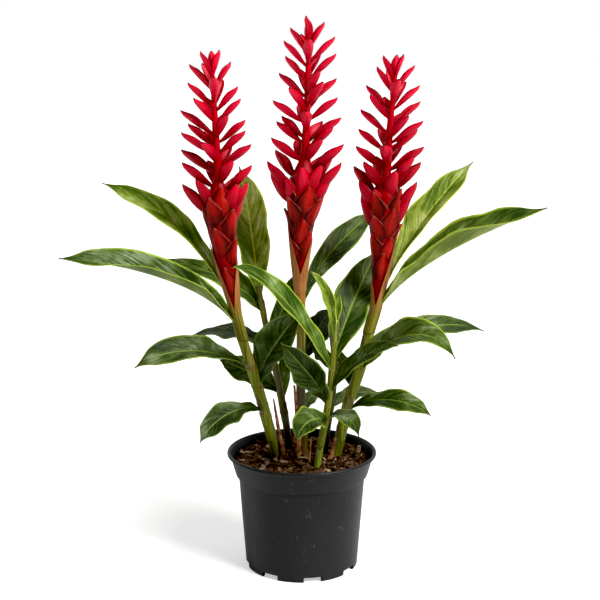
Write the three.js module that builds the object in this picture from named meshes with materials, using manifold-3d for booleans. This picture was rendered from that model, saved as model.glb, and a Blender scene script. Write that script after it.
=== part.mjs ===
// Potted red ginger: a black nursery pot of soil with six canes, thirty leaves and three red flower spikes.
// Millimetres, +Z up, X to the right and Y away from the viewer. The origin is the middle of the pot's base.
import * as THREE from 'three';
import { mergeVertices } from 'three/addons/utils/BufferGeometryUtils.js';
import Module from 'manifold-3d';

const wasm = await Module();
wasm.setup();

// Driving dimensions of the pot.
const POT_HEIGHT = 134;
const RIM_RADIUS = 85;
const LIP_HEIGHT = 5;
const COLLAR_TOP_RADIUS = 78.6;
const COLLAR_BOTTOM_RADIUS = 73.2;
const COLLAR_BOTTOM = 107;
const BODY_TOP_RADIUS = 71.8;
const BASE_RADIUS = 64;
const WALL = 1.8;
const FOOT_HEIGHT = 6;
const FLOOR = 2.5;
const POT_SIDES = 32;
const NOTCH_COUNT = 8;
const NOTCH_WIDTH = 20;
const NOTCH_TURN = 11;

// Soil, its bark chips, and the gap that neighbours keep.
const SOIL_TOP = 124;
const SOIL_ROUGHNESS = 1.6;
const CHIP_COUNT = 13;
const GAP = 0.3;
const CANE_FOOT = 92;
const CANE_SIDES = 8;

// Blades.
const LEAF_THICKNESS = 0.9;
const BRACT_THICKNESS = 2.4;

// Bracts of a flower spike.
const BRACT_LENGTH = 47;
const BRACT_WIDTH = 19;
const SCALE_LENGTH = 40;
const SCALE_WIDTH = 27;
const FACING_BRACTS = 7;
const CONE_SCALES = 9;
const GOLDEN_ANGLE = Math.PI * (3 - Math.sqrt(5));

const finish = (color, roughness) => new THREE.MeshStandardMaterial({ color, roughness, metalness: 0 });
const blackPlastic = finish(0x26282a, 0.45);
const darkSoil = finish(0x2f1b10, 0.95);
const oliveCane = finish(0x76762d, 0.5);
const greenCane = finish(0x8fa63c, 0.5);
const darkCane = finish(0x4a4a20, 0.6);
const redBract = finish(0xc8001e, 0.35);
const darkLeaf = finish(0x2f5214, 0.35);
const midLeaf = finish(0x4c7d22, 0.38);
const brightLeaf = finish(0x8fae45, 0.42);
const dryHusk = finish(0x8a5a38, 0.8);

// Canes: centre line from the soil to the end of the cane or of its flower spike, radius at foot and top,
// height of the top, and the heights of the nodes.
const canes = {
  left: {
    line: [[-22, 5, 92], [-31, 4, 130], [-37, 3, 144], [-48, 0, 192], [-56, -2, 233], [-65, -2, 263],
      [-73, -2, 292], [-79, -2, 342], [-85, -1, 397], [-92, 0, 485], [-97, 0, 578]],
    radii: [6.8, 5.6], top: 292, nodes: [188, 209, 232], colour: oliveCane,
  },
  middle: {
    line: [[1, 12, 92], [1, 12, 153], [-1, 12, 200], [0, 12, 271], [2, 12, 342], [4, 11, 418],
      [5, 9, 500], [8, 6, 612]],
    radii: [5.8, 4.8], top: 338, nodes: [176, 235], colour: oliveCane,
  },
  right: {
    line: [[33, 3, 92], [40, 4, 130], [48, 5, 167], [54, 6, 191], [65, 8, 225], [76, 10, 271],
      [84, 10, 302], [90, 10, 374], [95, 8, 484], [103, 8, 576]],
    radii: [6.6, 5.2], top: 304, nodes: [160, 205, 248], colour: oliveCane,
  },
  front: {
    line: [[12, -33, 92], [16, -34, 132], [22, -33, 167], [29, -31, 201], [33, -28, 235], [38, -24, 292]],
    radii: [4.2, 2.6], top: 290, nodes: [175, 212], colour: greenCane,
  },
  back_left: {
    line: [[-8, 26, 92], [-14, 27, 129], [-18, 28, 155], [-24, 30, 190], [-31, 32, 225], [-41, 36, 271],
      [-50, 40, 318]],
    radii: [4.8, 3], top: 316, nodes: [170, 222], colour: darkCane,
  },
  back_right: {
    line: [[23, 19, 92], [27, 20, 133], [31, 22, 162], [36, 24, 192], [40, 27, 232]],
    radii: [4.4, 2.8], top: 230, nodes: [168], colour: darkCane,
  },
};

// Flower spikes: where the red begins, the cone's radii by height above it, and the tips of the bracts that
// make the left and right outline, each as reach from the centre line and height.
const spikes = {
  left: {
    foot: 292.3, tip: 574, turn: 0.4, sheathSides: [-1.7, -0.1],
    leftTips: [[40, 436], [39, 460], [42, 472], [38, 492], [30, 501], [38, 515], [28, 545], [26, 564], [12, 578]],
    rightTips: [[26, 427], [32, 439], [38, 457], [36, 478], [29, 493], [33, 505], [29, 528], [28, 541],
      [21, 567], [9, 580]],
  },
  middle: {
    foot: 338.3, tip: 606, turn: 1.5, sheathSides: [3.1, -0.6],
    leftTips: [[37, 449], [42, 461], [35, 472], [39, 486], [33, 505], [39, 526], [33, 555],
      [25, 573], [27, 589], [21, 603], [4, 613]],
    rightTips: [[24, 428], [30, 446], [42, 457], [32, 467], [43, 479], [30, 497], [38, 507], [34, 529],
      [33, 549], [30, 575], [28, 593], [17, 609]],
  },
  right: {
    foot: 304.3, tip: 570, turn: 2.6, sheathSides: [-2.2, 3.4],
    leftTips: [[27, 424], [31, 441], [38, 454], [37, 477], [34, 495], [34, 516], [27, 532], [31, 542],
      [21, 562], [15, 574]],
    rightTips: [[18, 397], [31, 425], [35, 438], [40, 458], [30, 466], [40, 475], [31, 494], [36, 504],
      [33, 524], [28, 542], [20, 563], [8, 575]],
  },
};
const CONE = [[0, 4.6], [18, 6.6], [50, 10.5], [83, 14], [108, 17], [128, 16], [146, 8]];
const SPIKE_RADIUS = 5;
const SPIKE_TIP_RADIUS = 2;

// Leaves: cane, height where the blade leaves it, middle and tip of the midrib, width, the way the upper face
// looks, the fold of the two halves in degrees, and the height and start of the waves in the edges.
const leaves = {
  left_top: ['left', 265, [-147, 42, 386], [-228, 60, 434], 36, [-0.3, -0.85, 0.5], [14, 14], 1.6, 0, midLeaf],
  left_long: ['left', 236, [-164, -30, 354], [-259, -56, 358], 40, [0, -0.75, 0.65], [30, 8], 1.8, 1, midLeaf],
  left_middle: ['left', 232, [-122, -34, 262], [-179, -66, 247], 38, [0, -0.8, 0.6], [12, 10], 2, 2, darkLeaf],
  left_low: ['left', 186, [-80, -26, 186], [-111, -60, 161], 32, [-0.2, -0.8, 0.6], [12, 12], 1.5, 0, darkLeaf],
  dark_left: ['left', 210, [-34, 8, 249], [-4, -8, 296], 32, [-0.4, -1, 0.3], [12, 16], 1.4, 3, darkLeaf],
  left_back: ['back_left', 300, [-112, 60, 331], [-163, 88, 339], 30, [-0.1, -0.7, 0.7], [12, 12], 1.4, 2, midLeaf],
  tall_back: ['back_left', 308, [-60, 66, 379], [-72, 95, 446], 36, [0.1, -1, 0.2], [12, 12], 1.4, 1, midLeaf],
  left_shade: ['back_left', 262, [-82, 70, 257], [-130, 108, 243], 28, [0, -0.4, 0.9], [14, 10], 1.6, 0, darkLeaf],
  left_hidden: ['back_left', 196, [-61, 58, 203], [-99, 84, 219], 28, [-0.2, -0.9, 0.4], [12, 12], 1.4, 4, darkLeaf],
  behind_centre: ['back_left', 240, [-22, 68, 288], [-8, 96, 322], 30, [0, -1, 0.3], [12, 12], 1.4, 2, darkLeaf],
  inner_left: ['back_left', 178, [-20, 50, 219], [-18, 66, 235], 18, [0, -1, 0.3], [12, 12], 1, 1, midLeaf],
  centre_back: ['middle', 304, [33, 62, 352], [84, 112, 391], 36, [0.1, -0.9, 0.5], [12, 12], 1.6, 2, midLeaf],
  back_right: ['middle', 236, [19, 54, 258], [36, 92, 280], 26, [0, -0.9, 0.5], [12, 12], 1.4, 0, darkLeaf],
  small_low: ['middle', 172, [12, 36, 187], [19, 52, 190], 16, [0, -0.7, 0.7], [12, 12], 0.8, 0, darkLeaf],
  right_light: ['right', 272, [136, 45, 389], [193, 70, 454], 36, [-0.4, -0.9, 0.3], [12, 12], 1.6, 0, brightLeaf],
  right_long: ['right', 256, [164, -14, 377], [262, -36, 412], 44, [0, -0.8, 0.6], [12, 30], 2, 0, midLeaf],
  right_far: ['right', 240, [143, 48, 275], [216, 82, 250], 34, [0, -0.6, 0.8], [12, 12], 1.8, 1, midLeaf],
  right_bright: ['right', 236, [118, -38, 280], [160, -88, 262], 36, [0, -0.7, 0.7], [12, 12], 1.8, 3, midLeaf],
  right_low: ['right', 186, [99, -12, 195], [142, -46, 184], 34, [0.1, -0.7, 0.7], [12, 12], 1.8, 2, midLeaf],
  inner_right: ['right', 208, [51, 36, 222], [46, 52, 246], 20, [0, -1, 0.3], [12, 12], 1, 0, darkLeaf],
  right_back: ['front', 258, [56, 32, 290], [88, 60, 357], 42, [-0.2, -1, 0.1], [12, 12], 1.8, 1, midLeaf],
  front_arch: ['front', 250, [-17, -62, 326], [-75, -96, 359], 28, [0.3, -0.8, 0.6], [14, 14], 1.2, 0, brightLeaf],
  young: ['front', 272, [32, -34, 303], [8, -48, 349], 17, [0, -1, 0.2], [34, 30], 0.8, 0, brightLeaf],
  spear: ['front', 284, [41, -20, 305], [41, -16, 324], 8, [0, -1, 0], [40, 40], 0, 0, brightLeaf],
  front_right: ['front', 222, [79, -50, 257], [122, -72, 271], 26, [0, -0.6, 0.8], [12, 12], 1.4, 2, midLeaf],
  front_low_right: ['front', 172, [46, -58, 193], [61, -84, 175], 18, [0.1, -0.5, 0.8], [12, 12], 1, 1, midLeaf],
  front_low_left: ['front', 186, [7, -66, 189], [-5, -98, 175], 32, [-0.3, -1, 0.4], [12, 12], 1.6, 2, midLeaf],
  dark_front: ['front', 200, [1, -44, 241], [-22, -60, 273], 34, [-0.3, -0.95, 0.3], [12, 12], 1.5, 0, darkLeaf],
  small_front: ['front', 238, [21, -10, 244], [13, 4, 252], 16, [0, -0.7, 0.7], [12, 12], 0.8, 0, darkLeaf],
  low_back: ['back_right', 180, [63, 52, 186], [92, 92, 175], 24, [0, -0.6, 0.8], [12, 12], 1.4, 1, darkLeaf],
};
const SMALL_LEAF_WIDTH = 27;

// Dried bits at the foot of the canes: centre line, radius, and how flat they are.
const driedBits = {
  dry_stalk_left: { line: [[-18, -2, 112], [-22, -2, 132], [-28, -1, 160], [-33, 0, 188]], radius: 1.8, flat: 1 },
  dry_sheath_middle: { line: [[-9, 2, 112], [-8, 3, 140], [-9, 3, 170], [-12, 3, 204]], radius: 2.8, flat: 0.5 },
  dry_sheath_back: { line: [[-4, 30, 112], [-6, 30, 130], [-10, 32, 150]], radius: 3.4, flat: 0.5 },
  dry_stalk_front: { line: [[7, -16, 112], [8, -16, 128], [9, -15, 150]], radius: 1.7, flat: 1 },
  dry_sheath_right: { line: [[30, -9, 112], [31, -9, 124], [36, -8, 146]], radius: 3, flat: 0.5 },
};

// A seeded draw between 0 and 1, the same on every run.
function seededDraw(seed) {
  let state = seed;
  return () => {
    state = (state * 16807) % 2147483647;
    return state / 2147483647;
  };
}

// The point of a hand set line at height z, on a smooth curve through its points.
function pointAtHeight(line, z) {
  let i = 0;
  while (i < line.length - 2 && z > line[i + 1][2]) {
    i += 1;
  }
  const [a, b] = [line[i], line[i + 1]];
  const before = line[Math.max(i - 1, 0)];
  const after = line[Math.min(i + 2, line.length - 1)];
  const rise = b[2] - a[2];
  const t = (z - a[2]) / rise;
  const at = (axis) => {
    const slopeA = ((b[axis] - before[axis]) / (b[2] - before[2])) * rise;
    const slopeB = ((after[axis] - a[axis]) / (after[2] - a[2])) * rise;
    const t2 = t * t;
    const t3 = t2 * t;
    return (2 * t3 - 3 * t2 + 1) * a[axis] + (t3 - 2 * t2 + t) * slopeA
      + (3 * t2 - 2 * t3) * b[axis] + (t3 - t2) * slopeB;
  };
  return new THREE.Vector3(at(0), at(1), z);
}

// The value at x on straight stretches between pairs.
function onStretches(pairs, x) {
  let i = 0;
  while (i < pairs.length - 2 && x > pairs[i + 1][0]) {
    i += 1;
  }
  const [a, b] = [pairs[i], pairs[i + 1]];
  return THREE.MathUtils.mapLinear(x, a[0], b[0], a[1], b[1]);
}

function toSolid(geometry) {
  const bare = geometry.clone();
  bare.deleteAttribute('normal');
  bare.deleteAttribute('uv');
  const merged = mergeVertices(bare, 1e-4);
  return new wasm.Manifold(new wasm.Mesh({
    numProp: 3,
    vertProperties: Float32Array.from(merged.attributes.position.array),
    triVerts: Uint32Array.from(merged.index.array),
  }));
}

// The largest closed body of a solid: sealed hollows are filled and loose scraps dropped.
function mainBody(solid) {
  const bodies = solid.decompose();
  return bodies.reduce((best, body) => (body.volume() > best.volume() ? body : best));
}

function toMesh(name, solid, material) {
  const { vertProperties, triVerts } = mainBody(solid.simplify(0.15)).getMesh();
  const geometry = new THREE.BufferGeometry();
  geometry.setAttribute('position', new THREE.BufferAttribute(vertProperties, 3));
  geometry.setIndex(new THREE.BufferAttribute(triVerts, 1));
  geometry.computeVertexNormals();
  const mesh = new THREE.Mesh(geometry, material);
  mesh.name = name;
  return mesh;
}

// A lathe profile of [radius, height] turned round a line: each level is moved to the line's point.
function turnedOnLine(profile, sides, line, flat = 1) {
  const geometry = new THREE.LatheGeometry(profile.map(([r, z]) => new THREE.Vector2(r, z)), sides);
  const position = geometry.attributes.position;
  for (let i = 0; i < position.count; i += 1) {
    const centre = pointAtHeight(line, position.getY(i));
    const x = centre.x + position.getX(i);
    const y = centre.y - position.getZ(i) * flat;
    position.setXYZ(i, x, y, centre.z);
  }
  return toSolid(geometry);
}

// A closed thin blade: surface(u, v) gives its middle, u along it from 0 to 1 and v across from -1 to 1. Both
// faces are the middle moved half the thickness along its normal, and are split into triangles alike.
function blade(surface, rows, columns, thickness) {
  const step = 0.02;
  const points = [];
  for (const side of [1, -1]) {
    for (let i = 0; i <= rows; i += 1) {
      for (let j = 0; j <= columns; j += 1) {
        const u = i / rows;
        const v = (2 * j) / columns - 1;
        const along = surface(Math.min(u + step, 1), v).sub(surface(Math.max(u - step, 0), v));
        const across = surface(u, Math.min(v + step, 1)).sub(surface(u, Math.max(v - step, -1)));
        const normal = across.cross(along).normalize();
        points.push(surface(u, v).addScaledVector(normal, (side * thickness) / 2));
      }
    }
  }
  const width = columns + 1;
  const under = (rows + 1) * width;
  const index = [];
  const quad = (a, b, c, d) => index.push(a, b, c, a, c, d);
  for (let i = 0; i < rows; i += 1) {
    for (let j = 0; j < columns; j += 1) {
      const a = i * width + j;
      const corners = [a, a + 1, a + width + 1, a + width];
      if (j >= columns / 2) {
        corners.push(corners.shift());
      }
      quad(...corners);
      quad(...corners.map((k) => k + under).reverse().map((k, n, all) => all[(n + 1) % 4]));
    }
    const a = i * width;
    quad(a, a + width, a + width + under, a + under);
    quad(a + columns, a + columns + under, a + columns + width + under, a + columns + width);
  }
  for (let j = 0; j < columns; j += 1) {
    const b = rows * width + j;
    quad(j, j + under, j + 1 + under, j + 1);
    quad(b, b + 1, b + 1 + under, b + under);
  }
  const geometry = new THREE.BufferGeometry().setFromPoints(points);
  geometry.setIndex(index);
  return toSolid(geometry);
}

// A closed fleshy bract on the same kind of surface: a keel outside, a groove inside, sharp edges and a point.
function boat(surface, rows, thickness) {
  const points = [];
  const index = [];
  const quad = (a, b, c, d) => index.push(a, b, c, a, c, d);
  for (let i = 0; i < rows; i += 1) {
    const u = i / rows;
    const keel = surface(u, 0);
    const across = surface(u, 1).sub(surface(u, -1));
    const along = surface(u + 0.02, 0).sub(keel);
    const inward = across.cross(along).normalize().multiplyScalar(thickness / 2);
    points.push(surface(u, -1), keel.clone().sub(inward), surface(u, 1), keel.add(inward));
    if (i > 0) {
      const a = 4 * i - 4;
      for (let k = 0; k < 4; k += 1) {
        const next = (k + 1) % 4;
        quad(a + k, a + k + 4, a + next + 4, a + next);
      }
    }
  }
  const tip = points.length;
  points.push(surface(1, 0));
  for (let k = 0; k < 4; k += 1) {
    index.push(tip - 4 + ((k + 1) % 4), tip - 4 + k, tip);
  }
  quad(0, 1, 2, 3);
  const geometry = new THREE.BufferGeometry().setFromPoints(points);
  geometry.setIndex(index);
  return toSolid(geometry);
}

// The pot: one turned plastic wall with a stepped floor, and drain notches through the foot ring.
function potSolid() {
  const lipBottom = POT_HEIGHT - LIP_HEIGHT;
  const channelInner = 46;
  const channelOuter = BASE_RADIUS - 6;
  const profile = [
    [0, 0], [channelInner, 0], [channelInner + 3, FOOT_HEIGHT], [channelOuter, FOOT_HEIGHT],
    [BASE_RADIUS - 3.5, 0], [BASE_RADIUS, 0],
    [BODY_TOP_RADIUS, COLLAR_BOTTOM - 2], [COLLAR_BOTTOM_RADIUS, COLLAR_BOTTOM],
    [COLLAR_TOP_RADIUS, lipBottom], [RIM_RADIUS - 1.2, lipBottom + 0.4], [RIM_RADIUS, lipBottom + 2],
    [RIM_RADIUS - 0.3, POT_HEIGHT - 1], [RIM_RADIUS - 1.6, POT_HEIGHT], [COLLAR_TOP_RADIUS + 1, POT_HEIGHT],
    [COLLAR_TOP_RADIUS - 0.6, POT_HEIGHT - 2], [COLLAR_BOTTOM_RADIUS - WALL, COLLAR_BOTTOM + 1.5],
    [BODY_TOP_RADIUS - WALL, COLLAR_BOTTOM - 1.5], [BASE_RADIUS - WALL, FOOT_HEIGHT + FLOOR],
    [channelInner + 1.5, FOOT_HEIGHT + FLOOR], [channelInner - 1.5, FLOOR], [0, FLOOR],
  ];
  const straight = [[0, 0, 0], [0, 0, POT_HEIGHT]];
  let solid = turnedOnLine(profile, POT_SIDES, straight);
  for (let i = 0; i < NOTCH_COUNT; i += 1) {
    const notch = new THREE.BoxGeometry(16, NOTCH_WIDTH, 2 * FOOT_HEIGHT);
    notch.translate(BASE_RADIUS - 1, 0, 0);
    notch.rotateZ(THREE.MathUtils.degToRad(NOTCH_TURN) + (i * 2 * Math.PI) / NOTCH_COUNT);
    solid = solid.subtract(toSolid(notch));
  }
  return solid;
}

// The soil fills the pot to a finger's breadth below the rim, with an uneven top and bark chips lying in it.
function soilSolid() {
  const collarStretch = (POT_HEIGHT - 2 - COLLAR_BOTTOM - 1.5);
  const topRadius = COLLAR_BOTTOM_RADIUS - WALL - GAP
    + ((COLLAR_TOP_RADIUS - 0.6 - COLLAR_BOTTOM_RADIUS + WALL) * (SOIL_TOP - 2 - COLLAR_BOTTOM)) / collarStretch;
  const floorLevel = FOOT_HEIGHT + FLOOR + GAP;
  const profile = [
    [0, floorLevel], [BASE_RADIUS - WALL - GAP - 1, floorLevel],
    [BODY_TOP_RADIUS - WALL - GAP - 0.4, COLLAR_BOTTOM - 1.5],
    [COLLAR_BOTTOM_RADIUS - WALL - GAP - 0.4, COLLAR_BOTTOM + 1.5], [topRadius - 0.5, SOIL_TOP - 2],
    [62, SOIL_TOP], [44, SOIL_TOP + 0.5], [24, SOIL_TOP + 0.5], [0, SOIL_TOP + 1],
  ];
  const geometry = new THREE.LatheGeometry(profile.map(([r, z]) => new THREE.Vector2(r, z)), 24);
  geometry.rotateX(Math.PI / 2);
  const position = geometry.attributes.position;
  for (let i = 0; i < position.count; i += 1) {
    const [x, y, z] = [position.getX(i), position.getY(i), position.getZ(i)];
    if (z > SOIL_TOP - 1) {
      position.setZ(i, z + SOIL_ROUGHNESS * Math.sin(x * 0.21 + 1) * Math.cos(y * 0.17 - 0.5));
    }
  }
  let solid = toSolid(geometry);
  const draw = seededDraw(41);
  for (let i = 0; i < CHIP_COUNT; i += 1) {
    const chip = new THREE.BoxGeometry(8 + 9 * draw(), 4 + 5 * draw(), 2.2 + 1.6 * draw());
    const radius = 14 + 52 * Math.sqrt(draw());
    const angle = i * GOLDEN_ANGLE;
    chip.rotateX(0.5 * (draw() - 0.5));
    chip.rotateY(0.5 * (draw() - 0.5));
    chip.rotateZ(draw() * Math.PI);
    chip.translate(radius * Math.cos(angle), radius * Math.sin(angle), SOIL_TOP + 0.8);
    solid = solid.add(toSolid(chip));
  }
  return solid;
}

// A cane's profile: a slim taper with a raised ring at each node. A grown copy, wider by the gap all round and
// open ended, cuts the plain hole in the soil and the seats of the leaves.
function caneProfile(cane, grow) {
  const [footRadius, topRadius] = cane.radii;
  const radiusAt = (z) => THREE.MathUtils.mapLinear(z, CANE_FOOT, cane.top, footRadius, topRadius) + grow;
  const levels = [];
  for (let i = 0; i <= 5; i += 1) {
    levels.push([CANE_FOOT + ((cane.top - CANE_FOOT) * i) / 5, 0]);
  }
  for (const z of cane.nodes) {
    levels.push([z - 3, 0], [z, 0.8]);
  }
  levels.sort((a, b) => a[0] - b[0]);
  const ends = grow > 0 ? 1 : 0;
  levels[0][0] -= ends;
  levels[levels.length - 1][0] += ends * 0.2;
  const wall = levels.map(([z, ring]) => [radiusAt(z) + ring, z]);
  return [[0, wall[0][1]], ...wall, [0, wall[wall.length - 1][1]]];
}

function caneSolid(cane, grow = 0) {
  return turnedOnLine(caneProfile(cane, grow), CANE_SIDES, cane.line);
}

// The radius of a flower spike's core at height z: a cone that swells and draws in to the slim spike.
function coreRadius(spike, z) {
  const up = z - spike.foot;
  const [coneTop, neck] = CONE[CONE.length - 1];
  if (up <= coneTop) {
    return onStretches(CONE, up);
  }
  const rest = (z - spike.foot - coneTop) / (spike.tip - spike.foot - coneTop);
  return THREE.MathUtils.lerp(Math.min(SPIKE_RADIUS, neck), SPIKE_TIP_RADIUS, rest);
}

// A tan sheath clasps the foot of a flower cone: a curved blade from inside the cane to a pointed tip.
function sheathSolid(cane, spike, angle, reach) {
  const start = spike.foot - 24;
  const surface = (u, v) => {
    const z = start + (24 + reach) * u;
    const wrap = 0.95 * (1 - 0.93 * u ** 1.6);
    const clear = z > spike.foot - 4 ? coreRadius(spike, Math.max(z, spike.foot)) + 1.9 : cane.radii[1] + 0.4;
    const turn = angle + v * wrap;
    const centre = pointAtHeight(cane.line, z);
    return centre.add(new THREE.Vector3(Math.cos(turn) * clear, Math.sin(turn) * clear, 0));
  };
  return blade(surface, 3, 2, 1);
}

// A bract from the spike's core: it leaves the core upwards, bends out to its tip and is folded like a boat.
function bractSurface(spike, line, angle, reach, tipHeight, width, length) {
  const rise = Math.sqrt(Math.max(length ** 2 - reach ** 2, (0.4 * length) ** 2));
  const rootHeight = Math.min(tipHeight - rise, spike.tip - 3);
  const out = new THREE.Vector3(Math.cos(angle), Math.sin(angle), 0);
  const sunk = Math.max(coreRadius(spike, rootHeight) - 2, 0.5);
  const root = pointAtHeight(line, rootHeight).addScaledVector(out, sunk);
  const side = new THREE.Vector3(-Math.sin(angle), Math.cos(angle), 0);
  const tipCentre = pointAtHeight(line, Math.min(tipHeight, spike.tip));
  const tip = new THREE.Vector3(tipCentre.x, tipCentre.y, tipHeight).addScaledVector(out, reach);
  const bend = root.clone().addScaledVector(out, 0.62 * (reach - sunk)).setZ(rootHeight + 0.3 * (tipHeight - rootHeight));
  const keel = new THREE.QuadraticBezierCurve3(root, bend, tip);
  return (u, v) => {
    const point = keel.getPoint(u);
    const along = keel.getTangent(u);
    const inward = side.clone().cross(along).multiplyScalar(-1);
    const half = (width / 2) * Math.max(Math.sin(Math.PI * (0.08 + 0.9 * u ** 0.9)), 0.04) ** 0.9;
    point.addScaledVector(side, v * half * 0.82);
    return point.addScaledVector(inward, Math.abs(v) ** 1.4 * half * 0.9);
  };
}

// A scale of the cone: a broad bract that hugs the core and lifts a little at its tip.
function scaleSurface(spike, line, angle, tipHeight) {
  const start = tipHeight - SCALE_LENGTH;
  return (u, v) => {
    const z = start + SCALE_LENGTH * u;
    const half = (SCALE_WIDTH / 2) * Math.sin(Math.PI * (0.15 + 0.83 * u)) ** 0.7;
    const lift = -2.5 + 7 * u + 4.5 * u ** 4;
    const radius = Math.max(coreRadius(spike, z), 14 * u) + lift;
    const turn = angle + (v * half) / (Math.max(radius, 8) + 3);
    const centre = pointAtHeight(line, z);
    const tuck = 1 - 0.1 * v ** 2;
    return centre.add(new THREE.Vector3(Math.cos(turn), Math.sin(turn), 0).multiplyScalar(radius * tuck));
  };
}

// One flower spike: core, cone scales, and open bracts to the left, right, front and back.
function spikeSolid(spike, line) {
  const heights = [0, 0.06, 0.18, 0.3, 0.39, 0.46, 0.53, 0.7, 0.86, 1];
  const wall = heights.map((share) => {
    const z = THREE.MathUtils.lerp(spike.foot, spike.tip, share);
    return [coreRadius(spike, z), z];
  });
  const pieces = [turnedOnLine([[0, spike.foot], ...wall, [0, spike.tip]], 8, line)];
  for (let k = 0; k < CONE_SCALES; k += 1) {
    const tipHeight = spike.foot + 84 + k * 7;
    pieces.push(boat(scaleSurface(spike, line, spike.turn + k * GOLDEN_ANGLE, tipHeight), 3, BRACT_THICKNESS));
  }
  const addBract = (angle, reach, tipHeight) => {
    const share = THREE.MathUtils.clamp((tipHeight - spike.foot - 130) / (spike.tip - spike.foot - 130), 0, 1);
    const length = BRACT_LENGTH - 10 * share;
    const width = BRACT_WIDTH - 5 * share;
    const surface = bractSurface(spike, line, angle, reach, tipHeight, width, length);
    pieces.push(boat(surface, 3, BRACT_THICKNESS));
  };
  spike.leftTips.forEach(([reach, z], i) => addBract(Math.PI + 0.3 * Math.sin(2.4 * i), reach, z));
  spike.rightTips.forEach(([reach, z], i) => addBract(0.3 * Math.sin(2.4 * i + 1), reach, z));
  const low = spike.foot + 140;
  const span = spike.tip - low;
  for (const facing of [-1, 1]) {
    for (let k = 0; k < FACING_BRACTS; k += 1) {
      const swing = (k % 2 === 0 ? -1 : 1) * (0.42 + 0.16 * Math.sin(3 * k + spike.turn));
      const share = (k + (facing + 1) / 4) / FACING_BRACTS;
      addBract(facing * Math.PI / 2 + swing, 36 - 17 * share, low + span * share);
    }
  }
  return pieces.reduce((whole, piece) => whole.add(piece));
}

// A leaf blade along its midrib, from inside the cane to the tip, with waved edges. The cane cuts its seat.
function leafSurface([caneName, height, middle, tip, width, face, folds, wave, start]) {
  const root = pointAtHeight(canes[caneName].line, height);
  const end = new THREE.Vector3(...tip);
  const bend = new THREE.Vector3(...middle).multiplyScalar(2).addScaledVector(root, -0.5).addScaledVector(end, -0.5);
  const midrib = new THREE.QuadraticBezierCurve3(root, bend, end);
  const look = new THREE.Vector3(...face);
  return (u, v) => {
    const point = midrib.getPoint(u);
    const along = midrib.getTangent(u);
    const side = along.clone().cross(look).normalize();
    const up = side.clone().cross(along);
    const half = (width / 2) * Math.max(Math.sin(Math.PI * u ** 0.9) ** 0.8 * (1 - 0.25 * u ** 6), 0.16 - 0.12 * u);
    const fold = THREE.MathUtils.degToRad(folds[v > 0 ? 1 : 0]) * Math.sin(Math.PI * (0.15 + 0.8 * u)) ** 0.5;
    const ripple = wave * v ** 2 * Math.sin(Math.PI * u) * Math.sin(15 * u + start + (v > 0 ? 2 : 0));
    point.addScaledVector(side, v * half * Math.cos(fold));
    return point.addScaledVector(up, Math.abs(v) * half * Math.sin(fold) + ripple);
  };
}

function leafSolid(spec) {
  const small = spec[4] < SMALL_LEAF_WIDTH;
  const whole = blade(leafSurface(spec), small ? 5 : 7, small ? 2 : 4, LEAF_THICKNESS);
  return whole.subtract(caneSolid(canes[spec[0]], GAP));
}

function driedSolid({ line, radius, flat }) {
  const [low, high] = [line[0][2], line[line.length - 1][2]];
  const levels = [0, 0.3, 0.55, 0.8, 1];
  const wall = levels.map((share) => [radius * (1 - 0.7 * share ** 2), THREE.MathUtils.lerp(low, high, share)]);
  return turnedOnLine([[0, low], ...wall, [0, high]], 6, line, flat);
}

const plant = new THREE.Group();
plant.add(toMesh('pot', potSolid(), blackPlastic));

let soil = soilSolid();
for (const cane of Object.values(canes)) {
  soil = soil.subtract(caneSolid(cane, GAP));
}
for (const [name, bit] of Object.entries(driedBits)) {
  plant.add(toMesh(name, driedSolid(bit), dryHusk));
  soil = soil.subtract(driedSolid({ ...bit, radius: bit.radius + GAP / bit.flat }));
}
plant.add(toMesh('soil', soil, darkSoil));

for (const [name, cane] of Object.entries(canes)) {
  let solid = caneSolid(cane);
  const spike = spikes[name];
  if (spike) {
    spike.sheathSides.forEach((angle, i) => {
      solid = solid.add(sheathSolid(cane, spike, angle, i === 0 ? 62 : 36));
    });
    plant.add(toMesh('bloom_' + name, spikeSolid(spike, cane.line), redBract));
  }
  plant.add(toMesh('stem_' + name, solid, cane.colour));
}

for (const [name, spec] of Object.entries(leaves)) {
  plant.add(toMesh('leaf_' + name, leafSolid(spec), spec[9]));
}

export default plant;
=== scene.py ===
# %% [markdown]
# Potted red ginger, dressed for the studio.
# The model comes in as plain faceted solids. Each is replaced here by a finer mesh of the same form: thin
# waved leaves with veins, boat shaped bracts in layers, canes in their sheaths, a turned pot and bark.

# %% Load the model
import math
import random
from collections import namedtuple

import bmesh
import bpy
from mathutils import Euler, Matrix, Vector, noise


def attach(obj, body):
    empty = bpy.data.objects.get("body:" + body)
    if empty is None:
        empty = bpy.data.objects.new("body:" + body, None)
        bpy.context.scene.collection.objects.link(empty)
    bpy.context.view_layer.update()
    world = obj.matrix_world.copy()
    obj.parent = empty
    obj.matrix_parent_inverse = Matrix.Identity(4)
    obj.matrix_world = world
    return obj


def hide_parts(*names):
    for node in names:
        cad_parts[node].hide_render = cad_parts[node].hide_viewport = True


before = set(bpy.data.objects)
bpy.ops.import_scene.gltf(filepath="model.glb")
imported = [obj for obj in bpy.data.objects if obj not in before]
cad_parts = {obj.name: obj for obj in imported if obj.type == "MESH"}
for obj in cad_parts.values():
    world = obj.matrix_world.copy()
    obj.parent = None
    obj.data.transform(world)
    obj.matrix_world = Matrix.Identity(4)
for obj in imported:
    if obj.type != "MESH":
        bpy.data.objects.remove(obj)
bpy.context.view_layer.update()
MM = 0.001
print("nodes in the model:", len(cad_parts))

# %% [markdown]
# The camera stands where a photographer would, about a metre and a third in front and a little above the
# leaves, looking slightly down through a short telephoto lens, so that the pot's rim is a flat ellipse.

# %% Camera
CAMERA_PLACE = Vector((-2, -1347, 572))
CAMERA_PITCH = 11.1
LENS = 74.0
FILM_WIDTH = 36


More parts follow.
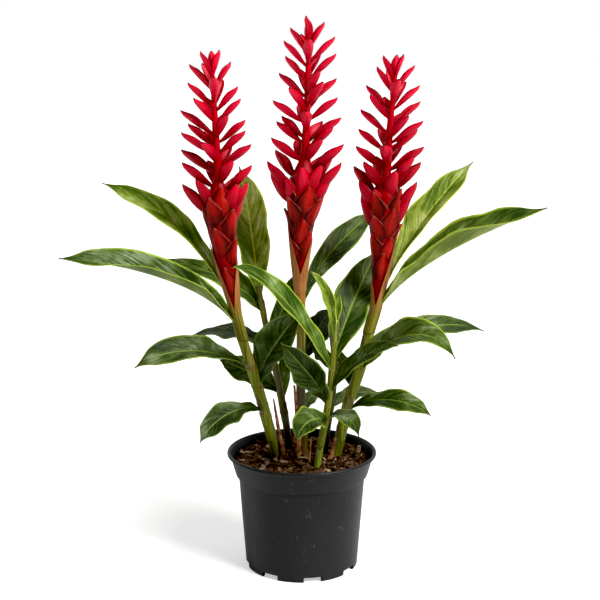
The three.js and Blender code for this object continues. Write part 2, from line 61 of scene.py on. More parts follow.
def place_object(name, data):
    """An object of that data, put in the scene."""
    made = bpy.data.objects.new(name, data)
    bpy.context.scene.collection.objects.link(made)
    return made


camera_data = bpy.data.cameras.new("camera")
camera_data.lens = LENS
camera_data.sensor_width = FILM_WIDTH
camera = place_object("camera", camera_data)
camera.location = CAMERA_PLACE * MM
camera.rotation_euler = (math.radians(90 - CAMERA_PITCH), 0, 0)
bpy.context.scene.camera = camera
print("camera lens", LENS, "mm")

# %% [markdown]
# The floor, the sky and every finish of the plant are built of shader nodes. One helper adds a node and
# feeds its inputs. The outputs of nodes can be written in formulas, where each sign adds a Math node, so that
# a tone reads as it would on paper.

# %% Node helpers
LOW_SHINE = 0.12


class Value:
    """What a node puts out. Each sign in a formula of values and numbers adds a Math node."""

    def __init__(self, socket):
        self.socket = socket
        self.tree = socket.id_data

    def __add__(self, other):
        return math_node("ADD", self, other)

    def __sub__(self, other):
        return math_node("SUBTRACT", self, other)

    def __rsub__(self, other):
        return math_node("SUBTRACT", other, self)

    def __mul__(self, other):
        return math_node("MULTIPLY", self, other)

    def __pow__(self, other):
        return math_node("POWER", self, other)

    def siblings(self):
        """All outputs of the same node, by name."""
        return {socket.name: Value(socket) for socket in self.socket.node.outputs}


def feed(socket, value):
    """Gives an input a number, a colour, a vector or what another node puts out."""
    if isinstance(value, Value):
        value.tree.links.new(value.socket, socket)
    elif socket.type == "RGBA":
        socket.default_value = (*value, 1)
    else:
        socket.default_value = value


def add_node(tree, kind, inputs=(), output=0, **settings):
    """Adds a node with its settings and inputs, and returns one of its outputs."""
    node = tree.nodes.new(kind)
    for setting, value in settings.items():
        setattr(node, setting, value)
    for label, value in dict(inputs).items():
        feed(node.inputs[label], value)
    return Value(node.outputs[output])


def math_node(operation, *inputs, clamp=False):
    """One step of arithmetic on values and numbers."""
    tree = next(value.tree for value in inputs if isinstance(value, Value))
    return add_node(tree, "ShaderNodeMath", enumerate(inputs), operation=operation, use_clamp=clamp)


def ramp(value, low, high):
    """0 below low, 1 above high, smooth between."""
    inputs = {"Value": value, "From Min": low, "From Max": high}
    return add_node(value.tree, "ShaderNodeMapRange", inputs, interpolation_type="SMOOTHSTEP")


def mix(amount, first, second):
    """The first colour where the amount is 0, the second where it is 1."""
    inputs = {"Factor": amount, 6: first, 7: second}
    return add_node(amount.tree, "ShaderNodeMix", inputs, output=2, data_type="RGBA")


def axes(place):
    """The X, Y and Z of a place."""
    return add_node(place.tree, "ShaderNodeSeparateXYZ", {"Vector": place}).siblings()


def new_material(name, roughness, shine=LOW_SHINE):
    """A material of that roughness and shine: returns it and its node tree."""
    material = bpy.data.materials.new(name)
    material.use_nodes = True
    shader = material.node_tree.nodes["Principled BSDF"]
    feed(shader.inputs["Roughness"], roughness)
    feed(shader.inputs["Specular IOR Level"], shine)
    return material, material.node_tree


print("shine of a dull finish:", LOW_SHINE)

# %% [markdown]
# A plant shop pictures its pots on a white table that is lit from below as well, so that shadows stay faint.
# The floor here is such a table: a wide flat sheet that is white, and glows a little to the camera. One sun
# lamp with a wide disc stands for the big soft lamp on the right. The studio's white wall is behind the
# plant, and the room in front is dim, which leaves the glossy leaves their deep colour. The wall that the
# camera sees is plain white, so no horizon shows. A small black level in the view's tone curve deepens the
# darkest shadows, as a camera's picture has them.

# %% Floor and light
FLOOR_SIZE = 60
FLOOR_WHITE = (0.82, 0.82, 0.82)
FLOOR_GLOW = 0.49
SUN_FROM = Vector((1.15, -0.9, 1.3))
SUN_SPREAD = 26
SUN_STRENGTH = 4.2
SUN_COLOUR = (1, 0.985, 0.96)
WALL_STRENGTH = 0.85
ROOM_STRENGTH = 0.13
WALL_START, WALL_FULL = -0.35, 0.8
BLACK_LEVEL = 0.008
WHITE = (1, 1, 1)


def mesh_object(name, bm):
    """An object in the scene that takes over the mesh of bm."""
    data = bpy.data.meshes.new(name)
    bm.to_mesh(data)
    bm.free()
    return place_object(name, data)


def seen_directly(tree):
    """1 where the camera looks straight at the surface, 0 for light that bounces."""
    return add_node(tree, "ShaderNodeLightPath", output="Is Camera Ray")


floor_mesh = bmesh.new()
bmesh.ops.create_grid(floor_mesh, x_segments=1, y_segments=1, size=FLOOR_SIZE)
floor = mesh_object("floor", floor_mesh)
white, white_tree = new_material("white_table", 0.9, 0)
white_inputs = white_tree.nodes["Principled BSDF"].inputs
feed(white_inputs["Base Color"], FLOOR_WHITE)
feed(white_inputs["Emission Color"], WHITE)
feed(white_inputs["Emission Strength"], seen_directly(white_tree) * FLOOR_GLOW)
floor.data.materials.append(white)

sun_data = bpy.data.lights.new("soft_lamp", "SUN")
sun_data.energy = SUN_STRENGTH
sun_data.angle = math.radians(SUN_SPREAD)
sun_data.color = SUN_COLOUR
sun = place_object("soft_lamp", sun_data)
sun.rotation_euler = (-SUN_FROM).to_track_quat("-Z", "Y").to_euler()

world = bpy.data.worlds.new("studio")
world.use_nodes = True
sky_tree = world.node_tree
direction = add_node(sky_tree, "ShaderNodeTexCoord", output="Generated")
towards_wall = ramp(axes(direction)["Y"], WALL_START, WALL_FULL)
sky = sky_tree.nodes["Background"]
feed(sky.inputs["Color"], WHITE)
feed(sky.inputs["Strength"], towards_wall * (WALL_STRENGTH - ROOM_STRENGTH) + ROOM_STRENGTH)
backdrop = add_node(sky_tree, "ShaderNodeBackground", {"Color": WHITE, "Strength": 1})
shown = {"Fac": seen_directly(sky_tree), 1: Value(sky.outputs[0]), 2: backdrop}
feed(sky_tree.nodes["World Output"].inputs["Surface"], add_node(sky_tree, "ShaderNodeMixShader", shown))
bpy.context.scene.world = world
picture = bpy.context.scene.view_settings
picture.view_transform = "Standard"
picture.use_curve_mapping = True
picture.curve_mapping.black_level = (BLACK_LEVEL, BLACK_LEVEL, BLACK_LEVEL)
print("white table, soft lamp and studio wall are set")

# %% [markdown]
# Plants grow along curves. Every cane is a line of given points, and a helper reads a smooth point on it at
# any height, so that leaves, sheaths and bracts all find their place on the same cane.

# %% Curves


def point_at_height(line, z):
    """The point of a given line at height z, on a smooth curve through its points."""
    i = 0
    while i < len(line) - 2 and z > line[i + 1][2]:
        i += 1
    a, b = line[i], line[i + 1]
    before, after = line[max(i - 1, 0)], line[min(i + 2, len(line) - 1)]
    rise = b[2] - a[2]
    t = (z - a[2]) / rise
    place = []
    for axis in (0, 1):
        slope_a = (b[axis] - before[axis]) / (b[2] - before[2]) * rise
        slope_b = (after[axis] - a[axis]) / (after[2] - a[2]) * rise
        value = (2 * t**3 - 3 * t**2 + 1) * a[axis] + (t**3 - 2 * t**2 + t) * slope_a
        value += (3 * t**2 - 2 * t**3) * b[axis] + (t**3 - t**2) * slope_b
        place.append(value)
    return Vector((place[0], place[1], z))


def on_stretches(pairs, x):
    """The value at x on straight stretches between pairs."""
    i = 0
    while i < len(pairs) - 2 and x > pairs[i + 1][0]:
        i += 1
    (x0, y0), (x1, y1) = pairs[i], pairs[i + 1]
    return y0 + (y1 - y0) * (x - x0) / (x1 - x0)


def arc(root, bend, tip, u):
    """A point and a direction on the curve from root to tip that leans towards bend."""
    point = root * (1 - u) ** 2 + bend * (2 * u * (1 - u)) + tip * u**2
    along = (bend - root) * (2 - 2 * u) + (tip - bend) * (2 * u)
    return point, along.normalized()


def bell(distance, width):
    """1 at distance 0, and nearly 0 past twice the width."""
    return math.exp(-((distance / width) ** 2))


def level(angle):
    """The level direction at an angle: 0 is right and a quarter turn is back."""
    return Vector((math.cos(angle), math.sin(angle), 0))


def share_of(value, low, high):
    """How far a value is from low to high, between 0 and 1."""
    return min(max((value - low) / (high - low), 0), 1)


print("a quarter turn points to", tuple(round(value) for value in level(math.pi / 2)))

# %% [markdown]
# Most pieces of the plant are thin sheets. A sheet starts as a flat grid, whose own place along and across
# is kept as its UV map, and each vertex then moves to where a formula for the grown shape puts it. Round
# pieces start as a profile that is spun, and each level then moves to the line of its cane. A Solidify
# modifier gives a sheet its thickness last, and a second finish goes on the side that the modifier adds.

# %% Mesh helpers
MERGE_DISTANCE = 0.01


def merge_doubles(bm):
    bmesh.ops.remove_doubles(bm, verts=bm.verts, dist=MERGE_DISTANCE * MM)


def add_sheet(bm, rows, columns, surface):
    """A grid of rows by columns in bm, moved to surface(u, v): u runs from 0 to 1 and v from -1 to 1."""
    uv = bm.loops.layers.uv.verify()
    grid = bmesh.ops.create_grid(bm, x_segments=rows, y_segments=columns, size=0.5)["verts"]
    for face in {face for vert in grid for face in vert.link_faces}:
        face.smooth = True
        for loop in face.loops:
            loop[uv].uv = (loop.vert.co.x + 0.5, loop.vert.co.y + 0.5)
    for vert in grid:
        vert.co = surface(vert.co.x + 0.5, 2 * vert.co.y) * MM


def shaft(low, high, steps, radius_at):
    """A closed profile of (radius, height) from low to high, with its radius by a formula."""
    heights = [low + (high - low) * i / steps for i in range(steps + 1)]
    return [(0, low)] + [(radius_at(z), z) for z in heights] + [(0, high)]


def turned(profile, steps, line=None):
    """A new bmesh: a profile spun round the Z axis and then moved, level by level, to a line."""
    bm = bmesh.new()
    uv = bm.loops.layers.uv.verify()
    verts = [bm.verts.new((radius, 0, z)) for radius, z in profile]
    edges = [bm.edges.new(pair) for pair in zip(verts, verts[1:])]
    turn = dict(cent=(0, 0, 0), axis=(0, 0, 1), angle=2 * math.pi, steps=steps, use_merge=True)
    bmesh.ops.spin(bm, geom=verts + edges, **turn)
    low, high = profile[0][1], profile[-1][1]
    for face in bm.faces:
        face.smooth = True
        for loop in face.loops:
            angle = math.atan2(loop.vert.co.y, loop.vert.co.x)
            loop[uv].uv = ((loop.vert.co.z - low) / max(high - low, 1), angle / (2 * math.pi) + 0.5)
    for vert in bm.verts:
        centre = point_at_height(line, vert.co.z) if line else Vector((0, 0, 0))
        vert.co = Vector((centre.x + vert.co.x, centre.y + vert.co.y, vert.co.z)) * MM
    merge_doubles(bm)
    bmesh.ops.recalc_face_normals(bm, faces=bm.faces)
    return bm


def finish_piece(bm, name, materials, node, thickness=None):
    """Makes an object of bm that rides on the pot's body and stands for the solid of that node."""
    merge_doubles(bm)
    piece = mesh_object(name, bm)
    for material in materials:
        piece.data.materials.append(material)
    if thickness:
        wall = piece.modifiers.new("thickness", "SOLIDIFY")
        wall.thickness = thickness * MM
        wall.offset = 0
        wall.material_offset = len(materials) - 1
    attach(piece, "root")
    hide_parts(node)
    return piece


def sheet_piece(name, grid, surfaces, materials, node, thickness):
    """A piece of one or more sheets, each a grid of (rows, columns) moved to its own surface."""
    bm = bmesh.new()
    for surface in surfaces:
        add_sheet(bm, *grid, surface)
    return finish_piece(bm, name, materials, node, thickness)


print("vertices closer than", MERGE_DISTANCE, "mm are merged")

# %% [markdown]
# Blades, bracts and sheaths all have veins that follow the sheet, so a node group reads the UV map and gives
# the midrib, the side veins and the rim as masks. Everything grown or used has uneven colour, so another
# group gives soft blotches with fine specks in them. Each material places the groups with its own values.

# %% Shader groups


def object_place(tree):
    return add_node(tree, "ShaderNodeTexCoord", output="Object")


def noise_at(place, scale, detail, distortion=0):
    """Noise of that scale, which stays between about 0.3 and 0.7."""
    inputs = {"Vector": place, "Scale": scale, "Detail": detail, "Distortion": distortion}
    return add_node(place.tree, "ShaderNodeTexNoise", inputs)


def streaks(tree, scale, detail, low, high, distortion=0):
    """A mask of noise that is stretched along X, Y and Z by a scale for each."""
    stretched = add_node(tree, "ShaderNodeMapping", {"Vector": object_place(tree), "Scale": scale})
    return ramp(noise_at(stretched, 1, detail, distortion), low, high)


def new_group(name, **numbers):
    """A node group with number inputs: returns it, and its inputs as values by name."""
    group = bpy.data.node_groups.new(name, "ShaderNodeTree")
    for label, number in numbers.items():
        socket = group.interface.new_socket(label, in_out="INPUT", socket_type="NodeSocketFloat")
        socket.default_value = number
    return group, Value(group.nodes.new("NodeGroupInput").outputs[0]).siblings()


def close_group(group, **results):
    """Gives a group its outputs and feeds them."""
    for label in results:
        group.interface.new_socket(label, in_out="OUTPUT", socket_type="NodeSocketFloat")
    end = group.nodes.new("NodeGroupOutput")
    for label, value in results.items():
        feed(end.inputs[label], value)
    return group


def place_group(tree, group, **numbers):
    """A placed group with its own numbers: returns its outputs by name."""
    return add_node(tree, "ShaderNodeGroup", numbers, node_tree=group).siblings()


def vein_group():
    """Midrib, side veins, uneven streaks along them, rim and place on the sheet, from the UV map."""
    group, given = new_group("sheet_veins", Veins=46, Slant=8, Midrib=0.03, Rim=0.92)
    uv = add_node(group, "ShaderNodeUVMap")
    place = axes(uv)
    along, side = place["X"], place["Y"] * 2 - 1
    across = math_node("ABSOLUTE", side)
    phase = along * given["Veins"] - across**1.35 * given["Slant"] + noise_at(uv, 14, 2) * 1.1
    vein = math_node("SINE", phase * (2 * math.pi)) * 0.5 + 0.5
    shift = axes(object_place(group))["X"] * 30
    flow = add_node(group, "ShaderNodeCombineXYZ", {"X": phase, "Y": side, "Z": shift})
    streak = ramp(noise_at(flow, 0.9, 4), 0.36, 0.64)
    near = math_node("DIVIDE", across, given["Midrib"])
    midrib = math_node("SUBTRACT", 1, near, clamp=True)
    rim = math_node("DIVIDE", across - given["Rim"], 1 - given["Rim"], clamp=True)
    return close_group(group, Midrib=midrib, Vein=vein, Streak=streak, Rim=rim, Along=along, Across=across)


def mottle_group():
    """Soft blotches and fine specks on object coordinates."""
    group, given = new_group("mottle", Blotches=40, Specks=900)
    place = object_place(group)
    blotch = ramp(noise_at(place, given["Blotches"], 4), 0.32, 0.68)
    speck = ramp(noise_at(place, given["Specks"], 2), 0.32, 0.68)
    return close_group(group, Blotch=blotch, Speck=speck)


def dress(material, colour, height, depth, roughness=None):
    """Feeds a material its colour, a bump of that depth in millimetres and, if given, its roughness."""
    inputs = material.node_tree.nodes["Principled BSDF"].inputs
    bump = {"Strength": 1, "Distance": depth * MM, "Height": height}
    feed(inputs["Base Color"], colour)
    feed(inputs["Normal"], add_node(material.node_tree, "ShaderNodeBump", bump))
    if roughness is not None:
        feed(inputs["Roughness"], roughness)
    return material


VEINS = vein_group()
MOTTLE = mottle_group()
print("shader groups:", VEINS.name, MOTTLE.name)

# %% [markdown]
# A ginger leaf is waxy and dark above, with a pale yellow green midrib, a thin yellow rim and close side
# veins that run forward at a sharp angle. Below it is paler and duller, and pale patches on both faces are a
# painted sheen. The colours of both faces are rows from an old dark leaf to a young bright one. Each leaf has
# its own place between them, set by its age and also by the light that falls on it there, so its light and
# shade are painted in.

# %% Leaf materials
LEAF_SHINE = 0.14
DRY_TIP = (0.16, 0.09, 0.03)
# Each row holds the dark, light, painted sheen, midrib and rim colours; the sheen is a painted highlight.
LEAF_TOP = [
    ((0.008, 0.018, 0.0015), (0.062, 0.095, 0.018), (0.17, 0.21, 0.13), (0.16, 0.24, 0.05),
     (0.14, 0.22, 0.03)),
    ((0.015, 0.037, 0.003), (0.115, 0.18, 0.034), (0.36, 0.44, 0.27), (0.31, 0.45, 0.06),
     (0.34, 0.5, 0.03)),
    ((0.028, 0.074, 0.004), (0.21, 0.32, 0.052), (0.5, 0.6, 0.33), (0.46, 0.6, 0.08), (0.54, 0.73, 0.04)),
    ((0.07, 0.15, 0.006), (0.42, 0.54, 0.085), (0.6, 0.7, 0.36), (0.62, 0.76, 0.1), (0.66, 0.8, 0.06)),
]
LEAF_UNDER = [
    ((0.04, 0.07, 0.01), (0.12, 0.16, 0.04), (0.22, 0.26, 0.14), (0.2, 0.28, 0.06), (0.18, 0.26, 0.03)),
    ((0.07, 0.12, 0.015), (0.22, 0.29, 0.06), (0.36, 0.42, 0.2), (0.36, 0.48, 0.08), (0.36, 0.48, 0.05)),
    ((0.15, 0.22, 0.02), (0.38, 0.47, 0.09), (0.5, 0.56, 0.28), (0.55, 0.68, 0.12), (0.55, 0.7, 0.07)),
    ((0.25, 0.36, 0.03), (0.5, 0.62, 0.1), (0.6, 0.68, 0.28), (0.66, 0.78, 0.14), (0.68, 0.82, 0.09)),
]
leaf_finishes = {}


def leaf_material(name, dark, light, painted_sheen, rib, rim, roughness):
    material, tree = new_material(name, roughness, LEAF_SHINE)
    vein = place_group(tree, VEINS, Veins=30, Slant=6.5, Midrib=0.085, Rim=0.84)
    spots = place_group(tree, MOTTLE, Blotches=26, Specks=420)
    blotch = spots["Blotch"]
    tone = vein["Streak"] * 0.35 + vein["Vein"] * 0.1 + blotch * 0.55
    colour = mix(ramp(tone, 0.1, 1), dark, light)
    # Grey patches of painted sheen: a painted highlight on the gloss.
    colour = mix(ramp(blotch, 0.65, 1) * vein["Streak"] * 0.65, colour, painted_sheen)
    colour = mix(vein["Midrib"] * 0.9, colour, rib)
    colour = mix(ramp(vein["Rim"], 0.1, 0.75) * (blotch * 0.45 + 0.55), colour, rim)
    colour = mix(ramp(vein["Along"], 0.96, 0.99), colour, DRY_TIP)
    height = vein["Vein"] * 0.3 + vein["Streak"] - vein["Midrib"]
    return dress(material, colour, height, 0.5, spots["Speck"] * 0.12 + (roughness - 0.06))


def between(rows, fresh):
    """The colours of a row between two rows of colours, by ratio."""
    i = min(max(int(fresh), 0), len(rows) - 2)
    t = fresh - i
    return [tuple(a ** (1 - t) * b**t for a, b in zip(*pair)) for pair in zip(rows[i], rows[i + 1])]


def leaf_finish(fresh):
    """The lower and upper material of a leaf: 0 is old and dark with painted shade, 3 is young and bright
    with painted light. The normals of a blade's grid point down, so the lower one is first."""
    if fresh not in leaf_finishes:
        under = leaf_material(f"leaf_under_{fresh}", *between(LEAF_UNDER, fresh), 0.5)
        top = leaf_material(f"leaf_top_{fresh}", *between(LEAF_TOP, fresh), 0.32 + 0.02 * fresh)
        leaf_finishes[fresh] = (under, top)
    return leaf_finishes[fresh]


print("leaf colours:", len(LEAF_TOP), "rows")

# %% [markdown]
# Canes: six stand in the soil. Each is a line of points, a radius at foot and top, the height of its top and
# the heights of its nodes, the rings where a sheath ends.

# %% Cane lines
CANE_FOOT = 92
CANES = {
    "left": dict(
        line=[(-20, 5, 92), (-29, 4, 130), (-35, 3, 152), (-47, 0, 197), (-57, -2, 233), (-66, -2, 263),
              (-73, -2, 292), (-82, -2, 342), (-88.5, -1, 397), (-93, 0, 485), (-97, 0, 578)],
        radii=(6.8, 5.6), top=292, nodes=(188, 209, 232), slot="flowering_cane"),
    "middle": dict(
        line=[(1, 12, 92), (1, 12, 153), (-1, 12, 200), (-1, 12, 271), (-2, 12, 342), (1, 11, 418),
              (5, 9, 500), (8, 6, 612)],
        radii=(5.8, 4.8), top=314, nodes=(176, 235), slot="flowering_cane"),
    "right": dict(
        line=[(33, 3, 92), (40, 4, 130), (48, 5, 167), (54, 6, 191), (65, 8, 225), (76, 10, 271),
              (84, 10, 302), (90, 10, 374), (95, 8, 484), (103, 8, 576)],
        radii=(6.6, 6.2), top=298, nodes=(160, 205, 248), slot="flowering_cane"),
    "front": dict(
        line=[(14, -33, 92), (18, -34, 132), (24, -33, 167), (29.5, -31, 201), (33, -28, 235),
              (38, -24, 292)],
        radii=(4.2, 2.6), top=290, nodes=(175, 212), slot="young_cane"),
    "back_left": dict(
        line=[(-8, 26, 92), (-14, 27, 129), (-18, 28, 155), (-24, 30, 190), (-31, 32, 225),
              (-41, 36, 271), (-50, 40, 318)],
        radii=(4.8, 3), top=316, nodes=(170, 222), slot="shaded_cane"),
    "back_right": dict(
        line=[(23, 19, 92), (27, 20, 133), (31, 22, 162), (36, 24, 192), (40, 27, 232)],
        radii=(4.4, 2.8), top=230, nodes=(168,), slot="shaded_cane"),
}
print("canes:", ", ".join(CANES))

# %% [markdown]
# A leaf grows from its cane along a bent midrib. Each leaf is written in two lines. The first says where it
# grows: the cane, the height of its root, how far it rises with the cane, the bend and the tip of its midrib.
# The second says its shape: the width, a power that moves the widest place outwards, where its face looks,
# the fold of its halves in degrees, the size of its waves, a number that shifts them, and how fresh and how
# lit it is. That last number picks the leaf's colours, so its light and shade are painted into them.

# %% Leaf rows
Leaf = namedtuple("Leaf", "name cane height rise bend tip width late face folds wave shift fresh")
LEAVES = [
    Leaf("left_top", "left", 275, 96, (-160, 38, 412), (-228, 60, 432),
         31, 1.45, (-0.3, -0.85, 0.5), (72, 14), 1.6, 0, 2.85),
    Leaf("left_long", "left", 266, 60, (-196, -36, 357), (-258, -56, 363.5),
         46, 1.3, (0, -0.6, 0.8), (76, 52), 1.8, 1, 0.9),
    Leaf("left_middle", "left", 226, 19, (-133, -50, 278), (-179, -66, 246.5),
         38, 1.8, (0, -0.8, 0.6), (46, 14), 2, 2, 0.5),
    Leaf("left_low", "left", 173, 23, (-94, -44, 192.5), (-111, -60, 161),
         33, 1.8, (-0.2, -0.8, 0.6), (20, 12), 1.5, 0, 0.3),
    Leaf("dark_left", "left", 204, 25, (-22, -2, 269), (-1, -8, 297),
         42, 1.3, (-0.4, -1, 0.3), (12, 24), 1.4, 3, -0.1),
    Leaf("left_back", "back_left", 285, 26, (-107, 68, 334), (-165, 88, 340),
         33, 0.95, (-0.1, -0.7, 0.7), (30, 12), 1.4, 2, 1.6),
    Leaf("tall_back", "back_left", 296, 30, (-59, 80, 403), (-73, 95, 448),
         44, 1.35, (0.1, -1, 0.2), (12, 20), 1.4, 1, 2.95),
    Leaf("left_shade", "back_left", 240, 16, (-95, 84, 262.5), (-132, 108, 243),
         28, 1.3, (0, -0.5, 0.85), (14, 10), 1.6, 0, 0.2),
    Leaf("left_hidden", "back_left", 188, 20, (-73, 66, 213), (-99, 84, 219),
         31, 1.3, (-0.2, -0.9, 0.4), (12, 12), 1.4, 4, 0.4),
    Leaf("behind_centre", "back_left", 236, 30, (-11, 82, 298), (-8, 96, 322),
         24, 1.3, (0, -1, 0.3), (12, 12), 1.4, 2, 1),
    Leaf("inner_left", "back_left", 178, 12, (-18, 60, 228), (-18, 66, 237),
         16, 1.3, (0, -1, 0.3), (12, 12), 1, 1, 1.5),
    Leaf("centre_back", "middle", 284, 50, (42, 88, 360), (88, 112, 395),
         34, 1.7, (0.1, -0.9, 0.5), (12, 26), 1.8, 2, 0.8),
    Leaf("back_right", "middle", 230, 15, (26, 76, 271), (36, 92, 280),
         32, 1.2, (0, -0.9, 0.5), (12, 12), 1.4, 0, 0),
    Leaf("small_low", "middle", 172, 6, (13, 40, 191), (19, 52, 190),
         16, 1.3, (0, -0.7, 0.7), (12, 12), 0.8, 0, 0.4),
    Leaf("right_light", "right", 282, 60, (151, 50, 414), (196, 70, 455),
         41, 1.6, (-0.4, -0.9, 0.3), (12, 62), 1.8, 0, 2.9),
    Leaf("right_long", "right", 278, 60, (200, -26, 391), (262, -36, 415),
         55, 1.5, (0, -0.45, 0.9), (40, 80), 2, 0, 1.7),
    Leaf("right_far", "right", 232, 27, (162, 68, 280), (216, 82, 254),
         31, 1.4, (0, -0.6, 0.8), (12, 12), 1.8, 1, 0.7),
    Leaf("right_bright", "right", 224, 28, (134, -62, 311), (161, -88, 262),
         40, 1.0, (0, -0.7, 0.7), (12, 26), 1.8, 3, 1.5),
    Leaf("right_low", "right", 173, 22, (111, -30, 210.5), (142, -46, 187),
         31, 1.7, (0.1, -0.7, 0.7), (12, 24), 1.8, 2, 1.0),
    Leaf("inner_right", "right", 200, 12, (46, 44, 226), (38, 52, 244),
         17, 1.3, (0, -1, 0.3), (12, 12), 1, 0, 0.3),
    Leaf("right_back", "front", 236, 34, (65, 36, 315), (88, 60, 357),
         45, 1.3, (-0.2, -1, 0.1), (12, 14), 1.8, 1, 0.8),
    Leaf("front_arch", "front", 232, 18, (-38, -80, 370), (-73, -96, 360),
         27, 1.1, (0.3, -0.8, 0.6), (40, 14), 1.2, 0, 1.7),
    Leaf("young", "front", 262, 25, (32, -42, 334), (8, -48, 349),
         13, 1.3, (0, -1, 0.2), (34, 30), 0.8, 0, 3),
    Leaf("spear", "front", 284, 8, (41, -18, 300), (41, -16, 322),
         8, 1.3, (0, -1, 0), (40, 40), 0, 0, 3),
    Leaf("front_right", "front", 206, 20, (76, -56, 273), (103, -68, 271),
         30, 1.3, (0, -0.6, 0.8), (12, 30), 1.4, 2, 0.4),
    Leaf("front_low_right", "front", 178, 8, (54, -74, 206), (61, -84, 175),
         25, 1.3, (0.1, -0.5, 0.8), (12, 12), 1, 1, 0.8),
    Leaf("front_low_left", "front", 176, 8, (0, -84, 199), (-5, -98, 175),
         34, 1.3, (-0.3, -1, 0.4), (12, 12), 1.6, 2, 0.9),
    Leaf("dark_front", "front", 192, 18, (3, -50, 243), (-23, -60, 273),
         34, 1.4, (-0.3, -0.95, 0.3), (12, 18), 1.5, 0, 0),
    Leaf("small_front", "front", 232, 8, (20, -4, 250), (12, 4, 255),
         17, 1.3, (0, -0.7, 0.7), (12, 12), 0.8, 0, 0.1),
    Leaf("low_back", "back_right", 176, 8, (70, 78, 187), (93, 92, 175),
         24, 1.3, (0, -0.6, 0.8), (12, 12), 1.4, 1, 0.4),
]
print("leaves to grow:", len(LEAVES))

# %% [markdown]
# The blade is a grid shaped by one formula: lance outline, a fold along the midrib, waves in the edges, and
# low ridges between the side veins. It could be sculpted too, but thirty leaves want one recipe. A thickness
# modifier closes it, and gives the lower face its own paler finish.

# %% Leaf shape
LEAF_THICKNESS = 0.9
LEAN_OUT = 0.05
LEAF_GRID = (110, 20)
NARROW_GRID = (60, 14)
NARROW_WIDTH = 20
WAVES = 19
SMALL_WAVES = 41
RIDGES = 20
RIDGE_SLANT = 4.5
GROOVE_DEPTH = 0.8
GROOVE_WIDTH = 0.06


def leaf_surface(leaf):
    """The formula of one blade in millimetres: it rises along its cane, leaves it and arches to the tip."""
    line = CANES[leaf.cane]["line"]
    root, bend, tip = point_at_height(line, leaf.height), Vector(leaf.bend), Vector(leaf.tip)
    look, outwards = Vector(leaf.face), Vector((tip.x - root.x, tip.y - root.y, 0))
    lean = point_at_height(line, leaf.height + leaf.rise) + outwards * LEAN_OUT

    def surface(u, v):
        w = 1 - u
        point = root * w**3 + lean * (3 * u * w**2) + bend * (3 * u**2 * w) + tip * u**3
        along = (lean - root) * w**2 + (bend - lean) * (2 * u * w) + (tip - bend) * u**2
        along.normalize()
        side = along.cross(look).normalized()
        up = side.cross(along)
        hand = 2 if v > 0 else 0
        swell = math.sin(math.pi * u)
        lance = max(math.sin(math.pi * u**leaf.late), 0) ** 1.05
        lance *= 1 + 0.26 * swell * noise.noise(Vector((u * 7.5, 3 * hand, leaf.shift + 5.5)))
        lance *= 1 - 0.6 * share_of(u, 0.88, 1)
        half = leaf.width / 2 * max(lance, 0.13 - 0.1 * u)
        fold = math.radians(leaf.folds[1 if v > 0 else 0]) * math.sin(math.pi * (0.15 + 0.8 * u)) ** 0.5
        fold *= 1 - 0.7 * u**3
        ripple = v**2 * math.sin(WAVES * u + leaf.shift + hand)
        ripple += 0.35 * abs(v) ** 3 * math.sin(SMALL_WAVES * u + 2 * leaf.shift + hand)
        strength = 0.22 + 0.3 * noise.noise(Vector((u * 5, v * 1.5, leaf.shift + 11)))
        ridge = math.sin(2 * math.pi * (RIDGES * u - RIDGE_SLANT * abs(v) ** 1.3))
        ridge *= strength * min(1, 5 * abs(v))
        groove = GROOVE_DEPTH * bell(v, GROOVE_WIDTH) * (1 - 0.6 * u)
        lift = abs(v) * half * math.sin(fold) + (leaf.wave * ripple + ridge) * swell - groove
        return point + side * (v * half * math.cos(fold)) + up * lift

    return surface


def make_leaf(leaf):
    node = "leaf_" + leaf.name
    grid = LEAF_GRID if leaf.width > NARROW_WIDTH else NARROW_GRID
    finish = leaf_finish(leaf.fresh)
    sheet_piece(node + "_blade", grid, [leaf_surface(leaf)], finish, node, LEAF_THICKNESS)


for leaf in LEAVES:
    make_leaf(leaf)
print("leaves made:", len(LEAVES))

# %% [markdown]
# A ginger cane is a roll of leaf sheaths round a thin stalk, with fine fibres along it and long streaks of a
# darker and a lighter tone. These streaks are partly its own flush of colour and partly painted shade and
# painted highlight down its sides. It changes colour towards the foot, and a reddish brown ring marks each
# node. The papery sheaths are coloured like their cane below and turn tan under the flowers. The middle
# cane's dark foot and the darker finish of the two back canes are painted shade.

# %% Cane materials
CANE_SHINE = 0.4
FIBRE_SCALE = (900, 900, 25)
FLUSH_AND_SHADE_SCALE = (150, 150, 14)
FOOT_TOP = 0.21
FOOT_FADE = 0.08
TAN_START, TAN_FULL = 0.28, 0.32


def cane_material(name, base, light, stain, foot, foot_top=FOOT_TOP):
    material, tree = new_material(name, 0.32, CANE_SHINE)
    spots = place_group(tree, MOTTLE, Blotches=60, Specks=700)
    fibre = streaks(tree, FIBRE_SCALE, 2, 0.35, 0.65)
    flush_and_painted_shade = streaks(tree, FLUSH_AND_SHADE_SCALE, 1, 0.38, 0.62)
    # Long streaks between a dark and a light colour: partly the cane's own flush of tone, partly painted
    # shade and painted highlight down its sides.
    colour = mix(flush_and_painted_shade * 0.7 + fibre * 0.3, base, light)
    colour = mix(spots["Blotch"] * 0.35, colour, stain)
    low = 1 - ramp(axes(object_place(tree))["Z"], foot_top - FOOT_FADE, foot_top)
    colour = mix(low * 0.7, colour, foot)
    near_node = add_node(tree, "ShaderNodeAttribute", output="Fac", attribute_name="near_node")
    colour = mix(near_node * 0.6, colour, stain)
    return dress(material, colour, fibre, 0.15)


